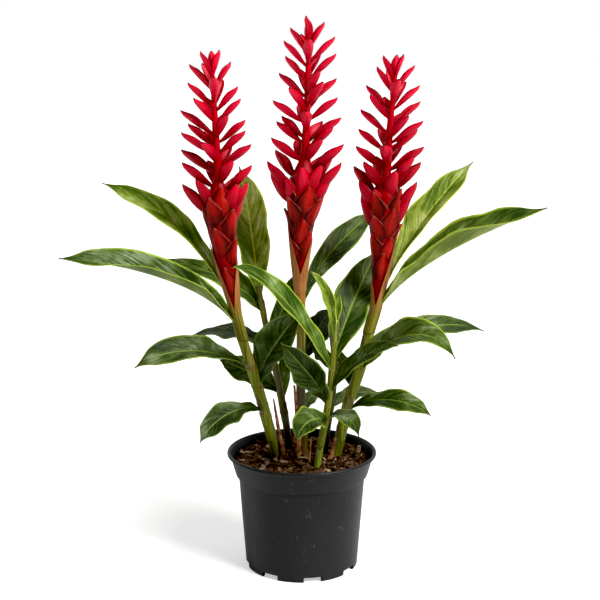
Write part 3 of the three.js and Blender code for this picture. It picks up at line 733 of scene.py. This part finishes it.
def sheath_material(name, dark, light, tan, pale, rim):
    material, tree = new_material(name, 0.5)
    vein = place_group(tree, VEINS, Veins=0, Slant=14, Midrib=0.02, Rim=0.86)
    spots = place_group(tree, MOTTLE, Blotches=50, Specks=800)
    lower = mix(vein["Streak"], dark, light)
    upper = mix(vein["Streak"] * 0.5, tan, pale)
    upper = mix(spots["Blotch"] * 0.4, upper, rim)
    colour = mix(ramp(axes(object_place(tree))["Z"], TAN_START, TAN_FULL), lower, upper)
    colour = mix(ramp(vein["Along"], 0.94, 1) * 0.8, colour, rim)
    return dress(material, colour, vein["Streak"], 0.2)


CANE_FINISH = {
    "flowering_cane": cane_material(
        "cane_olive", (0.045, 0.045, 0.004), (0.38, 0.36, 0.05), (0.1, 0.035, 0.01), (0.1, 0.13, 0.006)),
    # The middle cane is brown, and its darker foot, reaching higher than on the others, is painted shade.
    "middle_cane": cane_material(
        "cane_brown_shaded", (0.03, 0.024, 0.002), (0.3, 0.25, 0.03), (0.1, 0.03, 0.01), (0.03, 0.02, 0.006), 0.27),
    "young_cane": cane_material(
        "cane_green", (0.12, 0.17, 0.006), (0.42, 0.46, 0.07), (0.2, 0.14, 0.02), (0.22, 0.28, 0.03)),
    "shaded_cane": cane_material(
        "cane_shaded", (0.03, 0.03, 0.002), (0.12, 0.12, 0.012), (0.07, 0.03, 0.01), (0.03, 0.022, 0.006)),
}
TAN_SHEATH = sheath_material(
    "sheath_tan", (0.07, 0.06, 0.003), (0.26, 0.24, 0.03), (0.38, 0.13, 0.035), (0.42, 0.27, 0.085),
    (0.2, 0.05, 0.02))
GREEN_SHEATH = sheath_material(
    "sheath_green", (0.09, 0.11, 0.006), (0.24, 0.27, 0.035), (0.2, 0.24, 0.03), (0.3, 0.32, 0.07),
    (0.2, 0.15, 0.03))
print("cane finishes:", len(CANE_FINISH))

# %% [markdown]
# A cane is spun from a profile that thickens a little at each node. An attribute holds how near each point
# is to a node, so that the material can stain it. Below each leaf, its sheath clasps the cane: a small grid
# wrapped round it, wide above and narrow below.

# %% Cane shape
RING_HEIGHT = 0.8
RING_WIDTH = 1.6
STAIN_REACH = 3
LEAF_SHEATH_LENGTH = 34
LEAF_SHEATH_OVER = 4
LEAF_SHEATH_WRAP = 2.4
LEAF_SHEATH_LIFT = 0.5
LEAF_SHEATH_WALL = 0.35
LEAF_SHEATH_GRID = (16, 12)


def cane_radius(cane, z):
    foot, top = cane["radii"]
    share = (z - CANE_FOOT) / (cane["top"] - CANE_FOOT)
    rings = sum(bell(z - ring, RING_WIDTH) for ring in cane["nodes"])
    return foot + (top - foot) * share + RING_HEIGHT * rings


def make_cane(name, cane):
    bm = turned(shaft(CANE_FOOT, cane["top"], 90, lambda z: cane_radius(cane, z)), 20, cane["line"])
    near = bm.verts.layers.float.new("near_node")
    for vert in bm.verts:
        vert[near] = max(bell(vert.co.z / MM - ring, STAIN_REACH) for ring in cane["nodes"])
    finish = CANE_FINISH["middle_cane" if name == "middle" else cane["slot"]]
    finish_piece(bm, f"stem_{name}_cane", [finish], "stem_" + name)


def leaf_sheath_surface(cane, leaf):
    """A leaf's sheath: it clasps the cane below the leaf and narrows downwards."""
    away = Vector(leaf.bend) - point_at_height(cane["line"], leaf.height)
    heading = math.atan2(away.y, away.x)

    def surface(u, v):
        z = leaf.height + LEAF_SHEATH_OVER - LEAF_SHEATH_LENGTH * (1 - u)
        radius = cane_radius(cane, z) + 0.15 + LEAF_SHEATH_LIFT * u**3
        turn = heading + v * LEAF_SHEATH_WRAP * (0.35 + 0.65 * u)
        return point_at_height(cane["line"], z) + level(turn) * radius

    return surface


for cane_name, cane_spec in CANES.items():
    make_cane(cane_name, cane_spec)
for leaf in LEAVES:
    owner = CANES[leaf.cane]
    sheet_piece("collar_" + leaf.name, LEAF_SHEATH_GRID, [leaf_sheath_surface(owner, leaf)], [GREEN_SHEATH],
                "stem_" + leaf.cane, LEAF_SHEATH_WALL)
print("canes made:", len(CANES), "and their leaf sheaths:", len(LEAVES))

# %% [markdown]
# Each flower spike has a cone of broad scales below and open bracts above. The bracts and scales of the
# outline and the front sit where a picture of the real plant shows them, and others fill the back by a rule.
# A scale is an angle, the height of its tip and how far it flares. A tip at a side is its reach and height.

# %% Spike rows
CONE = [(0, 4.6), (18, 6.6), (50, 10.5), (83, 14.5), (108, 18), (126, 16), (146, 7)]
SPIKE_RADIUS = 5
SPIKE_TIP_RADIUS = 2
SPIKES = {
    "left": dict(
        foot=292.3, tip=574, turn=0.4, lobes=((-2.85, 86, 1.4), (-0.4, 68, 1.4)),
        scales=[(-1.71, 347, 0.5), (-0.5, 379, 1), (-1.95, 391, 1.5), (-0.75, 411, 3.5), (-2.12, 424, 5),
                (-3.1, 421, 8), (-1.3, 436, 6)],
        left_tips=[(40, 436), (39, 460), (42, 472), (38, 492), (30, 501), (38, 515), (28, 545), (26, 564),
                   (12, 578)],
        right_tips=[(26, 427), (32, 439), (38, 457), (39, 478), (34, 494), (33, 505), (29, 528),
                    (28, 541), (21, 567), (9, 580)],
        front_tips=[(3, 552), (-20, 529), (15, 512), (-13, 483), (18, 464), (-24, 443), (22, 439)]),
    "middle": dict(
        foot=314.3, tip=606, turn=1.5, lobes=((-3.0, 84, 2.2), (-0.35, 66, 2.0)),
        scales=[(-0.76, 385, 0.5), (-2.7, 378, 0.5), (-1.45, 398, 1.5), (-3.14, 409, 2.5),
                (-2.4, 423, 3.5), (-0.5, 421, 4), (-1.27, 435, 5), (-2.9, 443, 6)],
        left_tips=[(37, 449), (42, 461), (35, 472), (39, 486), (33, 503), (28, 509), (39, 526), (33, 555),
                   (25, 573), (27, 589), (21, 603), (4, 616)],
        right_tips=[(24, 428), (30, 446), (41, 459), (32, 467), (43, 479), (30, 497), (38, 507),
                    (34, 529), (33, 549), (30, 575), (28, 593), (17, 609)],
        front_tips=[(0, 591), (12, 558), (16, 546), (-20, 540), (-1, 516), (18, 486), (19, 458),
                    (-3, 457), (-20, 445)]),
    "right": dict(
        foot=298.3, tip=570, turn=2.6, lobes=((-0.4, 78, 1.5), (-2.8, 36, 1.2)),
        scales=[(-1.49, 361, 0.4), (-1.0, 379, 1), (-2.51, 383, 1), (-0.1, 392, 2), (-2.26, 403, 2.5),
                (-1.15, 411, 3.5), (-2.34, 429, 5.5), (-0.6, 432, 6)],
        left_tips=[(27, 424), (31, 441), (38, 454), (37, 477), (34, 495), (34, 516), (27, 532), (31, 542),
                   (21, 562), (15, 574)],
        right_tips=[(18, 397), (28, 425), (34, 438), (40, 458), (30, 466), (40, 475), (31, 494),
                    (36, 504), (33, 524), (28, 542), (20, 563), (8, 575)],
        front_tips=[(2, 549), (17, 510), (-6, 480), (9, 452), (-27, 461), (-14, 433)]),
}
print("flower spikes:", ", ".join(SPIKES))

# %% [markdown]
# A bract is deep red in the shade of its neighbours, which is painted shade, and brighter towards the spike's
# top. It has a painted pink sheen along its middle, a dark rim and a darker tip. The inside has a stronger
# painted sheen. The scales of the cone are wine red below, with a pale worn edge, a painted highlight along
# their middle and painted shade at their sides, where the next scale overlaps.

# %% Bract materials


def bract_material(name, deep, bright, painted_sheen_colour, rim, tip, painted_sheen_share, side_shade):
    material, tree = new_material(name, 0.36)
    vein = place_group(tree, VEINS, Veins=0, Slant=7, Midrib=0.1, Rim=0.84)
    spots = place_group(tree, MOTTLE, Blotches=60, Specks=900)
    blotch, across = spots["Blotch"], vein["Across"]
    high = ramp(axes(object_place(tree))["Z"], 0.4, 0.57)
    tone = vein["Along"] * 0.55 + blotch * 0.2 + high * 0.6 - 0.2
    # side_shade darkens the sides of a bract or scale: painted shade.
    tone = math_node("SUBTRACT", tone, across**1.5 * side_shade, clamp=True)
    colour = mix(tone, deep, bright)
    # shine is a painted highlight: a pink sheen down the middle of the bract, stronger high on the spike.
    shine = math_node("SUBTRACT", 1, across * 1.2, clamp=True) * ramp(vein["Along"], 0.25, 0.7)
    shine = shine * (vein["Streak"] * 0.7 + 0.3) * (high * 0.7 + 0.3)
    colour = mix(shine * painted_sheen_share, colour, painted_sheen_colour)
    colour = mix(ramp(vein["Rim"], 0.1, 0.7) * (blotch * 0.4 + 0.5), colour, rim)
    colour = mix(ramp(vein["Along"], 0.93, 0.99), colour, tip)
    return dress(material, colour, spots["Speck"] * 0.3 + vein["Streak"], 0.2)


BRACT_OUT = bract_material("bract_red", (0.31, 0.0008, 0.006), (0.9, 0.001, 0.036), (1, 0.13, 0.2),
                           (0.11, 0.001, 0.006), (0.045, 0.003, 0.006), 0.4, 0.2)
BRACT_IN = bract_material("bract_red_inside", (0.3, 0.0004, 0.003), (0.9, 0.008, 0.045), (1, 0.22, 0.3),
                          (0.26, 0.002, 0.012), (0.06, 0.004, 0.007), 0.85, 0.1)
SCALE_OUT = bract_material("scale_red", (0.035, 0.0002, 0.0005), (0.85, 0.002, 0.004),
                           (0.95, 0.07, 0.04), (0.36, 0.07, 0.05), (0.26, 0.045, 0.035), 0.9, 0.5)
CORE_RED = bract_material("spike_core_red", (0.22, 0.0004, 0.002), (0.6, 0.001, 0.012),
                          (0.7, 0.02, 0.04), (0.3, 0.001, 0.004), (0.5, 0.002, 0.015), 0.3, 0)
print("bract finishes:", BRACT_OUT.name, BRACT_IN.name, SCALE_OUT.name, CORE_RED.name)

# %% [markdown]
# A bract is folded like a boat: its keel leaves the core, bulges outwards and hooks up at the dark tip. The
# lowest bracts are broad where they leave the cone, and the highest ones are narrow. A scale hugs the cone
# instead, and only its top edge stands off. Both are grids, and the grid of a bract has its normals on the
# inside of the boat, so the inner finish is its first material.

# %% Bract shapes
BRACT_RISE = 19.5
BRACT_WIDTH = 15
BRACT_CURL = 1.3
BRACT_DEPTH = 1.8
BRACT_HOOK = 2.2
BRACT_START = 130
BROAD_BRACTS = 55
SCALE_LENGTH = 50
SCALE_WIDTH = 38


def core_radius(spike, z):
    """The core's radius at height z: a cone that swells and draws in to the slim spike."""
    up = z - spike["foot"]
    cone_top, neck = CONE[-1]
    if up <= cone_top:
        return on_stretches(CONE, up)
    rest = (up - cone_top) / (spike["tip"] - spike["foot"] - cone_top)
    start = min(SPIKE_RADIUS, neck)
    return start + (SPIKE_TIP_RADIUS - start) * rest


def bract_surface(spike, line, angle, reach, tip_height):
    above = tip_height - spike["foot"] - BRACT_START
    share = share_of(above, 0, spike["tip"] - spike["foot"] - BRACT_START)
    low = min(max(1 - above / BROAD_BRACTS, 0), 1.2)
    width = BRACT_WIDTH - 6 * share + 8 * low
    root_height = min(tip_height - BRACT_RISE - 9 * share - 16 * low, spike["tip"] - 3)
    out, side = level(angle), level(angle + math.pi / 2)
    sunk = max(core_radius(spike, root_height) - 2, 0.5)
    root = point_at_height(line, root_height) + out * sunk
    tip = point_at_height(line, min(tip_height, spike["tip"])) + out * (reach + 1.5)
    tip.z = tip_height
    bend = root + out * (0.62 * (reach - sunk))
    bend.z = root_height + (0.24 + 0.3 * share) * (tip_height - root_height)

    def surface(u, v):
        keel, along = arc(root, bend, tip, u)
        inward = along.cross(side)
        shape = (0.24 + 0.6 * low) * (1 - u) ** 2 + max(math.sin(math.pi * u**1.4), 0) ** 0.75
        half = width / 2 * max(shape, 0.03)
        turn = v * BRACT_CURL * (1 - 0.3 * low)
        boat = 0.6 * (1 - math.cos(turn)) + 0.22 * (math.hypot(v, 0.12) - 0.12)
        crease = 0.5 * bell(v, 0.14) * math.sin(math.pi * u)
        lift = BRACT_DEPTH * half * boat + BRACT_HOOK * share_of(u, 0.84, 1) ** 2 - crease
        return keel + side * (half * math.sin(turn)) + inward * lift

    return surface


def scale_surface(spike, line, angle, tip_height, flare):
    def surface(u, v):
        z = tip_height - SCALE_LENGTH * (1 - u)
        taper = 1 - share_of(u, 0.62, 1) ** 1.25
        half = SCALE_WIDTH / 2 * min(0.7 + 0.6 * u, 1) * max(taper, 0.02)
        radius = core_radius(spike, z) - 1.5 + 2.9 * u + flare * u**5
        turn = angle + v * half / (max(radius, 8) + 2)
        keel = 1 - 0.09 * v**2 + 0.04 * bell(v, 0.12) * u
        return point_at_height(line, z) + level(turn) * (radius * keel)

    return surface


print("open bracts start", BRACT_START, "mm above the foot of the spike")

# %% Spikes
SIDE_SWAY = 0.3
SWAY_STEP = 2.4
FRONT_REACH = 31
FRONT_LOW, FRONT_HIGH = 150, 185
BACK_BRACTS = 8
BACK_BRACT_START = 140
BACK_REACH = 37
BACK_SCALES = 8
BACK_SCALE_START = 62
BACK_SCALE_STEP = 11
BACK_SCALE_TURN = 0.75
SCALE_WALL = 1
SCALE_GRID = (22, 14)
BRACT_WALL = 0.9
BRACT_GRID = (16, 10)


def back_scales(foot):
    """Scales that overlap up the back of the cone, by turns on its left and right."""
    scales = []
    for k in range(BACK_SCALES):
        turn = BACK_SCALE_TURN if k % 2 == 0 else -BACK_SCALE_TURN
        scales.append((math.pi / 2 + turn, foot + BACK_SCALE_START + BACK_SCALE_STEP * k, 0.2 + 0.9 * k))
    return scales


def bract_places(spike):
    """The angle, reach and tip height of every open bract: left, right, front, back and the top one. Front
    bracts low on the spike stand more upright, so they reach less far."""
    foot, tip = spike["foot"], spike["tip"]
    places = []
    for i, end in enumerate(spike["left_tips"]):
        places.append((math.pi + SIDE_SWAY * math.sin(SWAY_STEP * i), *end))
    for i, end in enumerate(spike["right_tips"]):
        places.append((SIDE_SWAY * math.sin(SWAY_STEP * i + 1), *end))
    for offset, z in spike["front_tips"]:
        upright = 1 - share_of(z - foot, FRONT_LOW, FRONT_HIGH)
        reach = max(FRONT_REACH - 12 * upright, abs(offset) + 3)
        places.append((-math.acos(offset / reach), reach, z))
    low = foot + BACK_BRACT_START
    for k in range(BACK_BRACTS):
        swing = (-1 if k % 2 == 0 else 1) * (0.42 + 0.16 * math.sin(3 * k + spike["turn"]))
        share = (k + 0.5) / BACK_BRACTS
        places.append((math.pi / 2 + swing, BACK_REACH - 13 * share, low + (tip - low) * share))
    return places + [(-math.pi / 2, 2, tip + 5)]


def make_spike(name, spike):
    line = CANES[name]["line"]
    node = "bloom_" + name
    core = turned(shaft(spike["foot"], spike["tip"], 40, lambda z: core_radius(spike, z)), 24, line)
    finish_piece(core, node + "_core", [CORE_RED], node)
    places = spike["scales"] + back_scales(spike["foot"])
    scales = [scale_surface(spike, line, *place) for place in places]
    sheet_piece(node + "_scales", SCALE_GRID, scales, [SCALE_OUT], node, SCALE_WALL)
    bracts = [bract_surface(spike, line, *place) for place in bract_places(spike)]
    finishes = [BRACT_IN, BRACT_OUT]
    sheet_piece(node + "_bracts", BRACT_GRID, bracts, finishes, node, BRACT_WALL)
    print(node, "scales:", len(scales), "open bracts:", len(bracts))


for spike_name, spike_spec in SPIKES.items():
    make_spike(spike_name, spike_spec)

# %% [markdown]
# The top of a flowering cane and the lowest part of its cone are clasped by a tan papery sheath. It goes all
# round, and its upper edge runs up to a point on either side, so that the red ends in a V in front. A grid
# wrapped round the cane makes it: its upper end is as high as the nearer of the two points allows.

# %% Tan sheaths
TAN_SHEATH_DROP = 30
TAN_SHEATH_WALL = 0.6
TAN_SHEATH_GRID = (30, 40)


def tan_sheath_surface(cane, spike):
    foot = spike["foot"]

    def surface(u, v):
        angle = math.pi / 2 + math.pi * v
        top = foot - 3
        for middle, height, reach in spike["lobes"]:
            away = abs((angle - middle + math.pi) % (2 * math.pi) - math.pi) / reach
            top = max(top, foot - 3 + height * max(1 - away, 0) ** 1.15)
        z = foot - TAN_SHEATH_DROP + (top - foot + TAN_SHEATH_DROP) * u
        radius = cane_radius(cane, min(z, cane["top"])) + 0.5 + 0.5 * u
        if z > foot:
            radius = max(radius, core_radius(spike, z) + 1.6)
        return point_at_height(cane["line"], z) + level(angle) * radius

    return surface


for spike_name, spike_spec in SPIKES.items():
    node = "stem_" + spike_name
    surface = tan_sheath_surface(CANES[spike_name], spike_spec)
    sheet_piece(node + "_sheath", TAN_SHEATH_GRID, [surface], [TAN_SHEATH], node,
                TAN_SHEATH_WALL)
print("tan sheaths made:", len(SPIKES))

# %% [markdown]
# The pot is thin black plastic, turned in one wall: flat middle, raised channel, foot ring, tapered body, a
# wider collar and a rolled lip. A spin of the profile gives it, and eight boxes cut the drain notches.

# %% Pot shape
POT_HEIGHT = 134
RIM_RADIUS = 85
LIP_BOTTOM = 129
COLLAR_TOP_RADIUS = 81.4
COLLAR_BOTTOM_RADIUS = 75
COLLAR_BOTTOM = 107
BODY_TOP = COLLAR_BOTTOM - 2
BODY_TOP_RADIUS = 71.8
BASE_RADIUS = 64
WALL = 1.8
FOOT_HEIGHT = 6
FLOOR_THICKNESS = 2.5
CHANNEL = 46
EDGE_RADIUS = 1.2
NOTCHES = 8
NOTCH_DEPTH = 16
NOTCH_WIDTH = 20
NOTCH_TURN = 11


def rounded(profile, radius, steps=4):
    """The profile with its inner corners rounded off by arcs of about that radius."""
    smooth = [profile[0]]
    for before, corner, after in zip(profile, profile[1:], profile[2:]):
        corner, before, after = Vector(corner), Vector(before), Vector(after)
        reach = min(radius, 0.45 * (corner - before).length, 0.45 * (after - corner).length)
        start = corner + (before - corner).normalized() * reach
        end = corner + (after - corner).normalized() * reach
        smooth += [tuple(arc(start, corner, end, i / steps)[0]) for i in range(steps + 1)]
    return smooth + [profile[-1]]


def body_point(z):
    """The outside of the tapered body at height z."""
    return BASE_RADIUS + (BODY_TOP_RADIUS - BASE_RADIUS) * z / BODY_TOP, z


POT_PROFILE = [
    (0, 0), (CHANNEL, 0), (CHANNEL + 3, FOOT_HEIGHT), (BASE_RADIUS - 6, FOOT_HEIGHT),
    (BASE_RADIUS - 3.5, 0), (BASE_RADIUS, 0), body_point(FOOT_HEIGHT + 1.5), body_point(FOOT_HEIGHT + 3),
    (BODY_TOP_RADIUS, BODY_TOP), (COLLAR_BOTTOM_RADIUS, COLLAR_BOTTOM), (COLLAR_TOP_RADIUS, LIP_BOTTOM),
    (RIM_RADIUS - 1.2, LIP_BOTTOM + 0.4), (RIM_RADIUS, LIP_BOTTOM + 2), (RIM_RADIUS - 0.3, POT_HEIGHT - 1),
    (RIM_RADIUS - 1.6, POT_HEIGHT), (COLLAR_TOP_RADIUS + 1, POT_HEIGHT),
    (COLLAR_TOP_RADIUS - 0.6, POT_HEIGHT - 2), (COLLAR_BOTTOM_RADIUS - WALL, COLLAR_BOTTOM + 1.5),
    (BODY_TOP_RADIUS - WALL, COLLAR_BOTTOM - 1.5), (BASE_RADIUS - WALL, FOOT_HEIGHT + FLOOR_THICKNESS),
    (CHANNEL + 1.5, FOOT_HEIGHT + FLOOR_THICKNESS), (CHANNEL - 1.5, FLOOR_THICKNESS), (0, FLOOR_THICKNESS),
]


def notch_cutter():
    """Boxes round the foot ring, one for each drain notch."""
    boxes = bmesh.new()
    size = Matrix.Diagonal((NOTCH_DEPTH * MM, NOTCH_WIDTH * MM, 2 * FOOT_HEIGHT * MM, 1))
    out = Matrix.Translation(((BASE_RADIUS - 1) * MM, 0, 0))
    for i in range(NOTCHES):
        turn = Matrix.Rotation(math.radians(NOTCH_TURN + i * 360 / NOTCHES), 4, "Z")
        bmesh.ops.create_cube(boxes, size=1, matrix=turn @ out @ size)
    return mesh_object("notch_cutter", boxes)


print("pot profile points:", len(POT_PROFILE))

# %% [markdown]
# The plastic is nearly black and half glossy. A few pale scuffs and soft blotches keep it from looking new.
# The notches are cut by a Boolean modifier, which is applied at once, so that the boxes can go.

# %% Pot
POT_SHINE = 0.2
SCUFF_SCALE = (144, 144, 72)


def pot_material():
    material, tree = new_material("pot_plastic", 0.42, POT_SHINE)
    spots = place_group(tree, MOTTLE, Blotches=9, Specks=260)
    scuff = streaks(tree, SCUFF_SCALE, 6, 0.66, 0.74, distortion=1.2)
    colour = mix(spots["Blotch"] * 0.5, (0.012, 0.0125, 0.013), (0.022, 0.023, 0.024))
    colour = mix(scuff * 0.5, colour, (0.09, 0.09, 0.088))
    roughness = spots["Blotch"] * 0.12 + scuff * 0.2 + 0.34
    return dress(material, colour, scuff * 0.4 + spots["Speck"], 0.06, roughness)


def make_pot():
    bm = turned(rounded(POT_PROFILE, EDGE_RADIUS), 128)
    pot = finish_piece(bm, "pot_shell", [pot_material()], "pot")
    cutter = notch_cutter()
    cut = pot.modifiers.new("notches", "BOOLEAN")
    cut.object = cutter
    cut.solver = "EXACT"
    bpy.context.view_layer.update()
    whole = bpy.data.meshes.new_from_object(pot.evaluated_get(bpy.context.evaluated_depsgraph_get()))
    pot.modifiers.clear()
    pot.data = whole
    bpy.data.objects.remove(cutter)
    return pot


print("pot faces:", len(make_pot().data.polygons))

# %% [markdown]
# The mix in the pot is dark peat with bark: a bumpy disc, and hundreds of small chips thrown on it, each a
# cube that is flattened and jittered, with a tone of its own from nearly black to tan. Nine larger pale
# chips lie where they stand out on the real one: each is a place, three sizes, a turn in degrees and a tone.

# %% Soil
SOIL_TOP = 124
SOIL_DEPTH = 8
SOIL_RADIUS = 75.4
SOIL_RINGS = 40
SOIL_ROUGHNESS = 1.6
CHIPS = 1700
CHIP_SIZE = (13, 6.5, 2.6)
PLACED_CHIPS = [
    (-62, 15, 18, 6, 1.5, 5, 0.97), (-20, -22, 8, 4, 2, 20, 1), (3, -32, 12, 5, 2.5, -8, 0.7),
    (15, -32, 12, 4, 1.5, 12, 0.97), (-38, 10, 22, 2, 2, -55, 0.88), (66, 18, 5, 3, 9, 80, 0.98),
    (40, -40, 10, 5, 2, 30, 0.9), (-45, -30, 9, 5, 2, -35, 0.92), (28, -48, 8, 4, 2, 60, 0.95),
]
random.seed(7)


def soil_height(x, y):
    height = SOIL_TOP + 0.8 + SOIL_ROUGHNESS * math.sin(x * 0.21 + 1) * math.cos(y * 0.17 - 0.5)
    height += 1.4 * noise.noise(Vector((x * 0.16, y * 0.16, 3)))
    return height + 0.8 * noise.noise(Vector((x * 0.5, y * 0.5, 8)))


def soil_material():
    material, tree = new_material("potting_mix", 0.92, 0.04)
    spots = place_group(tree, MOTTLE, Blotches=220, Specks=1100)
    tone = add_node(tree, "ShaderNodeAttribute", output="Fac", attribute_name="tone")
    colour = mix(spots["Blotch"], (0.018, 0.01, 0.006), (0.07, 0.034, 0.018))
    colour = mix(ramp(tone, 0.1, 0.75), colour, (0.19, 0.1, 0.052))
    colour = mix(ramp(tone, 0.8, 1), colour, (0.66, 0.48, 0.31))
    colour = mix(spots["Speck"] * 0.45, colour, (0.01, 0.006, 0.004))
    return dress(material, colour, spots["Speck"], 0.5)


def soil_disc():
    profile = [(SOIL_RADIUS * i / SOIL_RINGS, SOIL_TOP) for i in range(SOIL_RINGS + 1)]
    bm = turned(profile + [(SOIL_RADIUS - 0.5, SOIL_TOP - SOIL_DEPTH), (0, SOIL_TOP - SOIL_DEPTH)], 110)
    for vert in bm.verts:
        if vert.co.z > (SOIL_TOP - SOIL_DEPTH / 2) * MM:
            vert.co.z = soil_height(vert.co.x / MM, vert.co.y / MM) * MM
    return bm


def add_chip(bm, x, y, long, wide, thick, turn, shade):
    """A cube that is scaled, jittered at its corners, turned and laid on the soil."""
    tone = bm.verts.layers.float["tone"]
    centre = Vector((x, y, soil_height(x, y) + 0.5 * thick))
    for vert in bmesh.ops.create_cube(bm, size=1)["verts"]:
        corner = Vector((vert.co.x * long, vert.co.y * wide, vert.co.z * thick))
        jitter = Vector((random.uniform(-1, 1), random.uniform(-1, 1), random.uniform(-0.4, 0.4)))
        vert.co = (centre + turn @ (corner + jitter * wide / 6)) * MM
        vert[tone] = shade


def make_soil():
    bm = soil_disc()
    bm.verts.layers.float.new("tone")
    for _ in range(CHIPS):
        radius = (SOIL_RADIUS - 4) * math.sqrt(random.random())
        angle = random.random() * 2 * math.pi
        size = 0.16 + 0.75 * random.random() ** 4
        turn = Euler((random.gauss(0, 0.35), random.gauss(0, 0.3), random.random() * math.pi))
        long, wide, thick = (side * size for side in CHIP_SIZE)
        wide *= 0.6 + 0.6 * random.random()
        place = level(angle) * radius
        add_chip(bm, place.x, place.y, long, wide, thick, turn.to_matrix(), random.random() ** 1.3)
    for x, y, long, wide, thick, degrees, shade in PLACED_CHIPS:
        turn = Euler((0.1, 0.15, math.radians(degrees)))
        add_chip(bm, x, y, long, wide, thick, turn.to_matrix(), shade)
    return finish_piece(bm, "soil_mix", [soil_material()], "soil")


print("soil faces:", len(make_soil().data.polygons))

# %% [markdown]
# Dried stalks and husks stand at the foot of the canes, left from older growth. Each is a line of points, a
# radius and how flat it is, and is turned like a cane, then flattened and crinkled by noise.

# %% Dried bits
DRIED = {
    "dry_stalk_left":
        ([(-19, -2, 112), (-21, -2, 128), (-25, -1, 150), (-29, 0, 175), (-32, 0, 194)], 2.8, 1),
    "dry_sheath_middle": ([(-4, 2, 112), (-4, 3, 140), (-5, 3, 170), (-8.5, 3, 209)], 3.7, 0.5),
    "dry_sheath_back": ([(-4, 30, 112), (-6, 30, 130), (-10, 32, 150)], 3.4, 0.5),
    "dry_stalk_front": ([(6.5, -16, 112), (8.5, -16, 132), (10.5, -15, 152)], 2, 1),
    "dry_sheath_right": ([(29, -9, 112), (33, -9, 130), (38.5, -8, 150)], 3.4, 0.5),
}
CRINKLE = 0.35
CRINKLE_SCALE = 180


def dry_material():
    material, tree = new_material("dry_husk", 0.8)
    spots = place_group(tree, MOTTLE, Blotches=180, Specks=1200)
    colour = mix(spots["Blotch"], (0.09, 0.032, 0.014), (0.42, 0.19, 0.08))
    return dress(material, colour, spots["Speck"], 0.25)


def make_husk(name, line, radius, flat, finish):
    low, high = line[0][2], line[-1][2]
    tapered = shaft(low, high, 24, lambda z: radius * (1 - 0.7 * share_of(z, low, high) ** 2))
    husk = turned(tapered, 14, line)
    for vert in husk.verts:
        centre = point_at_height(line, vert.co.z / MM) * MM
        vert.co.y = centre.y + (vert.co.y - centre.y) * flat
        crinkle = noise.noise(vert.co * CRINKLE_SCALE) * CRINKLE * MM
        vert.co += Vector((crinkle, crinkle * 0.6, 0))
    finish_piece(husk, name + "_husk", [finish], name)


DRY = dry_material()
for bit_name, bit in DRIED.items():
    make_husk(bit_name, *bit, DRY)
print("dried bits made:", len(DRIED))
